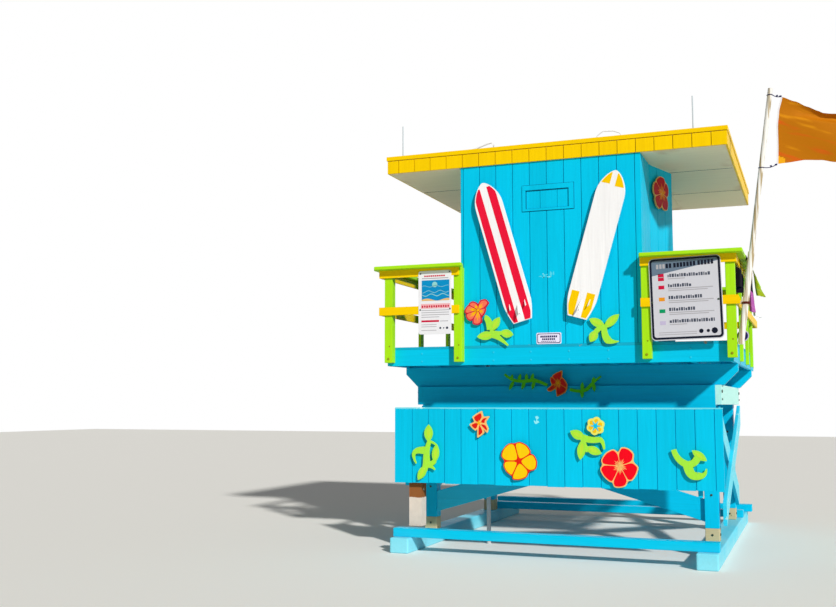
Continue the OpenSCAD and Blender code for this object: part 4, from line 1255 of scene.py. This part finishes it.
# %% [markdown]
# ## Flag
# An orange flag of thin nylon flies from the pole's top, held at two corners.
# Its top edge hangs and its cloth gathers into slanting folds. It starts as a
# folded sheet on curves that were measured along its edges. A short cloth
# simulation in a wind then lets every thread find its length again.

# %% Cloth finish
WEAVE, into, outof = new_group("weave", [("Threads", "f", 900.0)], ["Weave"])
point = axes(WEAVE)
warp = maths(WEAVE, "SINE", times(WEAVE, plus(WEAVE, point["X"], point["Y"]), into["Threads"]))
weft = maths(WEAVE, "SINE", times(WEAVE, point["Z"], into["Threads"]))
WEAVE.links.new(times(WEAVE, warp, weft), outof["Weave"])

# Streaks along a slant: painted shade and painted highlight of folds in the cloth.
STREAK, into, outof = new_group(
    "painted_fold_light", [("Slant", "v", (0.94, 0, -0.34)), ("Length", "f", 1.6), ("Width", "f", 11.0)],
    ["Warm", "Bright"])
run = vector_maths(STREAK, "DOT_PRODUCT", here(STREAK), into["Slant"], "Value")
across = vector_maths(STREAK, "CROSS_PRODUCT", into["Slant"], (0, 1, 0))
side = vector_maths(STREAK, "DOT_PRODUCT", here(STREAK), across, "Value")
spread = node(STREAK, "ShaderNodeCombineXYZ", {"X": times(STREAK, run, into["Length"]),
                                               "Y": times(STREAK, side, into["Width"])}).outputs[0]
cloud = noise(STREAK, spread, 1.0, 3.0)
STREAK.links.new(ramp(STREAK, cloud, 0.54, 0.7), outof["Warm"])
STREAK.links.new(ramp(STREAK, minus(STREAK, 1.0, cloud), 0.58, 0.72), outof["Bright"])


def cloth(name, colour, fold_shade=None, highlight=None):
    """Woven cloth that fades a little, with streaks of painted shade and painted highlight along its folds.
    """
    material, tree, shader = new_material(name, 0.12)
    colour = linear(colour)
    base = blend_colour(tree, noise(tree, here(tree), 3.0, 4.0), shade(colour, 0.88), colour)
    if fold_shade:
        streaks = use_group(tree, STREAK)
        base = blend_colour(tree, times(tree, streaks["Warm"], 0.7), base, linear(fold_shade))
        base = blend_colour(tree, times(tree, streaks["Bright"], 0.6), base, linear(highlight))
    tree.links.new(base, shader["Base Color"])
    weave = use_group(tree, WEAVE)["Weave"]
    bump = node(tree, "ShaderNodeBump", {"Height": weave, "Strength": 0.1, "Distance": 0.0005})
    tree.links.new(bump.outputs["Normal"], shader["Normal"])
    shader["Roughness"].default_value = 0.7


# Each cloth's second and third colours are painted fold shade and painted highlight.
cloth("orange_nylon", (196, 116, 0), (224, 84, 16), (236, 156, 16))
cloth("yellow_corner_cloth", (250, 176, 20))
cloth("white_cloth", (240, 238, 240))
cloth("purple_cloth", (176, 92, 168), (40, 10, 60), (206, 130, 196))
cloth("lime_cloth", (150, 170, 20), (110, 150, 10), (130, 236, 150))
# A near-black cloth: painted shade, where cloth hangs in deep shade below the cap.
cloth("dark_cloth", (12, 9, 24))
print("cloths", [m.name for m in bpy.data.materials if "cloth" in m.name])

# %% [markdown]
# ## Wind
# Folds could be drawn by hand, but they then look stiff. `settle` runs
# Blender's cloth in a steady wind for a few frames and keeps the shape that
# it finds. Every point is also pulled back to its first place, so that the
# outline stays as measured, and the simulation itself is removed again.

# %% Cloth in the wind


def settle(piece, hold, wind, frames):
    """Lets a sheet move in a steady wind and keeps the shape it finds.

    hold is each point's pull back to its first place, from 0 to 1.
    """
    pins = piece.vertex_groups.new(name="held")
    for index, pull in enumerate(hold):
        pins.add([index], pull, "REPLACE")
    cloth_move = piece.modifiers.new("cloth", "CLOTH")
    rules = cloth_move.settings
    rules.quality = 8
    rules.mass = 0.12
    rules.tension_stiffness = rules.compression_stiffness = 20
    rules.shear_stiffness = 6
    rules.bending_stiffness = 0.3
    rules.vertex_group_mass = "held"
    rules.pin_stiffness = 1.0
    cloth_move.collision_settings.use_collision = False
    cloth_move.point_cache.frame_start = 1
    cloth_move.point_cache.frame_end = frames
    bpy.ops.object.effector_add(type="WIND", rotation=(0, pi / 2, 0))
    blower = bpy.context.object
    blower.field.strength = wind
    blower.field.noise = 0
    for frame_number in range(1, frames + 1):
        scene.frame_set(frame_number)
    shaped = piece.evaluated_get(bpy.context.evaluated_depsgraph_get())
    found = [v.co.copy() for v in shaped.data.vertices]
    piece.modifiers.remove(cloth_move)
    piece.vertex_groups.clear()
    bpy.data.objects.remove(blower)
    scene.frame_set(1)
    moved = max((v.co - w).length for v, w in zip(piece.data.vertices, found))
    for vertex, co in zip(piece.data.vertices, found):
        vertex.co = co
    print(piece.name, "settled, moved up to", round(moved, 3))


def along_curve(points, t):
    """The value at t on a smooth line through (t, value) points."""
    for (t0, v0), (t1, v1) in zip(points, points[1:]):
        if t <= t1:
            s = (t - t0) / (t1 - t0)
            return v0 + (v1 - v0) * s * s * (3 - 2 * s) * 0.5 + (v1 - v0) * s * 0.5
    return points[-1][1]


# %% Flag
flag_low, flag_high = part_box("flag")
COLS, ROWS = 64, 44
LENGTH, HEIGHT = flag_high.x - flag_low.x, flag_high.z - flag_low.z
flag_y = (flag_low.y + flag_high.y) / 2 - BACK
HOIST = [(0.0, 2.253), (0.28, 2.26), (0.54, 2.261), (0.775, 2.277), (1.0, 2.312)]
TOP = [(0.0, 4.471), (0.135, 4.413), (0.25, 4.351), (0.35, 4.302), (0.4, 4.276), (0.47, 4.264), (0.7, 4.235),
       (0.86, 4.19), (1.0, 4.165)]
FOOT = [(0.0, 3.817), (0.1, 3.823), (0.25, 3.837), (0.4, 3.824), (0.52, 3.793), (0.72, 3.772), (1.0, 3.8)]
FOLD_START = 0.62


def first_flag(u, v):
    """A first shape for the flag: u from hoist to fly, v from foot to top.

    The slack of the upper third lies in one long fold under the top edge.
    """
    x = along_curve(HOIST, v) * (1 - u) + 2.27 * u + LENGTH * 0.93 * u
    low, high = along_curve(FOOT, u), along_curve(TOP, u)
    slack = min(1.0, max(0.0, 0.93 - (high - low) / HEIGHT) / 0.3)
    fold = max(0.0, v - FOLD_START) / 0.38
    share = (FOLD_START + 0.2 * slack) * min(1.0, v / FOLD_START) + (0.38 - 0.2 * slack) * fold
    y = flag_y + 0.045 * slack * sin(pi * fold) + 0.035 * u * sin(5.0 * v + 4.0 * u + 1.0)
    return at(x, y, low + (high - low) * share)


sheet = bmesh.new()
grid = [[sheet.verts.new(first_flag(i / COLS, j / ROWS)) for j in range(ROWS + 1)] for i in range(COLS + 1)]
for i in range(COLS):
    for j in range(ROWS):
        face = sheet.faces.new((grid[i][j], grid[i + 1][j], grid[i + 1][j + 1], grid[i][j + 1]))
        face.smooth = True
        face.material_index = 1 if i < 1 else 2 if i < 5 and j < 4 - i // 2 + 1 else 0
flag = finish_piece("flag_cloth", sheet, "orange_nylon white_cloth yellow_corner_cloth", 0.0, "flag")
hold = [1.0 if i == 0 else 0.3 for i in range(COLS + 1) for j in range(ROWS + 1)]
settle(flag, hold, 400.0, 20)
print("flag cloth", len(flag.data.polygons), "faces")

# %% [markdown]
# ## Spare flags
# Spare flags are hung over the right railing's cap: purple, white and lime.
# Each is laid over the cap as a strip, with its ends gathered, and its outer
# end then swings in the same wind as the flag. The purple one is painted near
# black above a height on its outer side: painted shade below the cap.

# %% Spare flags
CAP = 0.14
cap_x, cap_z = cap_high.x - MID, cap_high.z


def sheet_faces(mesh, rows, shaded_above=9.0):
    """Joins rows of points into a sheet, with a second coat on its outer side above a height: near black, as
    painted shade under the cap.
    """
    for a, b in zip(rows, rows[1:]):
        for j in range(len(a) - 1):
            face = mesh.faces.new((a[j], a[j + 1], b[j + 1], b[j]))
            face.smooth = True
            face.material_index = 1 if a[j].co.x > MID + cap_x and a[j].co.z > shaded_above else 0


def drape(name, y0, y1, outside, inside, coats, phase, swing, shaded_above=9.0):
    """A cloth over the cap: up inside the railing, over the top, and down outside."""
    mesh = bmesh.new()
    across, down, gap = 24, 44, 0.004
    total = inside + CAP + outside
    rows, hold = [], []
    for i in range(down + 1):
        s = total * i / down
        row = []
        for j in range(across + 1):
            w = j / across
            hang = max(inside - s, s - inside - CAP, 0.0)
            out = s > inside + CAP
            x = cap_x + gap if out else cap_x - CAP - gap if s < inside else cap_x - CAP + (s - inside)
            z = cap_z - hang * (0.96 if out else 1.0) if hang else cap_z + gap
            fold = (sin(w * tau * 2.5 + phase) + 1.1) * 0.018 * min(1.0, hang / 0.12)
            pull = 1 - 0.34 * min(1.0, hang / 0.3)
            y = (y0 + y1) / 2 + (w - 0.5) * (y1 - y0) * pull
            x += fold + swing * (0.35 + w) * hang * hang / outside if out else -fold
            row.append(mesh.verts.new(at(x, y, z)))
            hold.append(max(0.12, 1.0 - hang / 0.06) if out else 1.0)
        rows.append(row)
    sheet_faces(mesh, rows, shaded_above)
    piece = finish_piece(name, mesh, coats, 0.0, "spare_flags")
    settle(piece, hold, 60.0, 14)
    print(name, "hangs", outside, "down outside")


# The purple flag's outer side above 2.67 m is painted shade.
drape("purple_spare_flag", 0.34, 0.66, 0.58, 0.12, "purple_cloth dark_cloth", 0.4, 0.05, 2.67)
drape("white_spare_flag", 0.7, 1.08, 0.6, 0.1, "white_cloth", 2.0, 0.12)
drape("lime_spare_flag", 1.12, 1.36, 0.34, 0.12, "lime_cloth", 1.1, 0.28)

# %% [markdown]
# ## Shaded spare flag
# A small cloth is tucked in below the cap, beside the post, in near black:
# painted shade. It is out of the wind, so its shape is written down: waves
# along the rail, which start below the yellow board and grow downward.

# %% Shaded spare flag
APRON_FOOT = 2.89
tucked = bmesh.new()
rows = []
for i in range(25):
    z = cap_low.z - 0.003 - 0.32 * i / 24
    swell = min(1.0, max(0.0, (APRON_FOOT - z) / 0.07))
    rows.append([tucked.verts.new(at(
        1.816 + swell * (0.037 + 0.036 * sin(tau * 1.5 * j / 32 - 1.2)), 0.03 + 0.4 * j / 32,
        z + 0.02 * swell * sin(tau * j / 32))) for j in range(33)])
sheet_faces(tucked, rows)
tucked = finish_piece("shade_painted_spare_flag", tucked, "dark_cloth", 0.0, "spare_flags")
print("dark flag", len(tucked.data.polygons), "faces")

# %% [markdown]
# ## Small fittings
# Two small hoops of bent rod stand on the roof. They are thin and round, so
# `tube` draws a row of rings along a line of points and joins them. Cords and
# straps are made with it as well.

# %% Roof rods


def tube(mesh, points, radius, sides=8):
    """A round rod along a line of points."""
    rings = []
    for k, p in enumerate(points):
        ahead = points[min(k + 1, len(points) - 1)] - points[max(k - 1, 0)]
        rings.append(hoop(mesh, p, ahead.to_track_quat("Z", "Y").to_matrix(), radius, sides))
    for a, b in zip(rings, rings[1:]):
        bridge(mesh, a, b, smooth=True)
    mesh.faces.new(rings[0])
    mesh.faces.new(rings[-1])


rods = bmesh.new()
roof_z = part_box("roof_trim")[1].z
for radius, places in (
        (0.009, ((-0.93, -0.03), (-0.9, 0.02), (-0.8, 0.045), (-0.69, 0.08), (-0.64, 0.09), (-0.62, 0.06),
                 (-0.622, -0.03))),
        (0.006, ((0.48, -0.03), (0.5, 0.05), (0.56, 0.095), (0.67, 0.09), (0.74, 0.06), (0.77, -0.03)))):
    tube(rods, [at(x, 0.12, roof_z + up) for x, up in places], radius)
finish_piece("roof_rods", rods, "white_enamel")
print("rods stand to", round(roof_z + 0.095, 3))

# %% [markdown]
# ## Ties and strap
# Cords with knots tie the flag's corners to the pole, and a strap goes round
# the sleeve. They are short and taut, so a tube along a drawn line is enough,
# and a knot is a short thick tube.

# %% Ties and strap
POLE_Y = -0.045


def pole_x(z):
    """The pole's middle at a height: it leans by 8 degrees."""
    return 1.874 + (z - DECK + 0.042) * tan(radians(8))


def round_pole(z, radius, sides):
    """A closed loop of points round the pole."""
    loop = [at(x, y, z) for x, y in ring(pole_x(z), POLE_Y, radius, sides)]
    return loop + loop[:1]


ties = bmesh.new()
for z, hx, hz in ((4.498, 2.312, 4.474), (3.792, 2.253, 3.812)):
    start = pole_x(z) + 0.024
    points = [at(start + (hx - start) * t, flag_y, z + (hz - z) * t - 0.012 * sin(pi * t))
              for t in (0, 0.25, 0.5, 0.75, 1)]
    tube(ties, points, 0.004, 6)
    for t, size in ((0.55, 0.009), (0.95, 0.011)):
        knot = points[0].lerp(points[-1], t)
        tube(ties, [knot - Vector((size, 0, 0)), knot, knot + Vector((size, 0, 0.3 * size))], size * 0.8, 6)
    tube(ties, round_pole(z, 0.026, 16), 0.004, 5)
finish_piece("flag_cords", ties, "navy_enamel", 0.0, "flag_ties")
strap = bmesh.new()
for z in (2.488, 2.5):
    tube(strap, round_pole(z, 0.033, 20), 0.006, 6)
finish_piece("sleeve_strap", strap, "rope_brown")
print("the pole leans", round(pole_x(4.498) - pole_x(3.792), 3), "between the two ties")

# %% [markdown]
# ## Disc and splashes
# A navy disc with a pale rim sits beside the deck, and a few splashes of
# paint were left on the wall and the skirt. Each is a slab about a
# millimetre thick, so it needs no picture that is mapped on the boards.

# %% Disc and splashes
disc = bmesh.new()
for radius, near, far, index in ((0.055, 0.008, -0.01, 0), (0.046, -0.0095, -0.013, 1)):
    slab(disc, ring(1.894, 2.183, radius, 28), upright(near, far), index)
finish_piece("round_cap", disc, "sign_lilac navy_enamel", 0.002)
on_wall = upright(0.001, -0.0006)
BLOBS = [
    (upright(skirt_y0 + 0.001, skirt_y0 - 0.0006), [
        (-146, 1404), (-128, 1411), (-112, 1402), (-109, 1388), (-122, 1379), (-127, 1366), (-112, 1359),
        (-104, 1347), (-121, 1338), (-139, 1329), (-154, 1339), (-161, 1362), (-151, 1366), (-145, 1352),
        (-136, 1357), (-134, 1379), (-142, 1389)]),
    (on_wall, [(-20, 2838), (12, 2842), (22, 2835), (0, 2832)]),
    (on_wall, [(-70, 2872), (-58, 2878), (-52, 2870), (-64, 2866)])]
SCUFFS = [(-0.088, 2.846, 0.016, 0.006), (-0.05, 2.85, 0.012, 0.02), (-0.022, 2.862, 0.012, 0.006),
          (0.02, 2.868, 0.012, 0.026), (0.05, 2.872, 0.007, 0.02), (0.0, 2.84, 0.03, 0.006),
          (-0.06, 2.835, 0.014, 0.005)]
splash = bmesh.new()
for plane, blob in BLOBS:
    slab(splash, [(x / 1000, z / 1000) for x, z in blob], plane)
for x, z, wide, tall in SCUFFS:
    turns = [tau * i / 14 for i in range(14)]
    edge = [(x + wide * cos(a) * (1 + 0.3 * sin(3 * a + x * 90)), z + tall * sin(a)) for a in turns]
    slab(splash, edge, upright(0.001, -0.0005), 1)
finish_piece("paint_splashes", splash, "splash_white scuffed_turquoise")
print("splashes", len(BLOBS) + len(SCUFFS))

# %% Sizes, and the end
bpy.context.view_layer.update()
low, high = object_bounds()
print("visual box", [round(v, 3) for v in (*low, *high)])
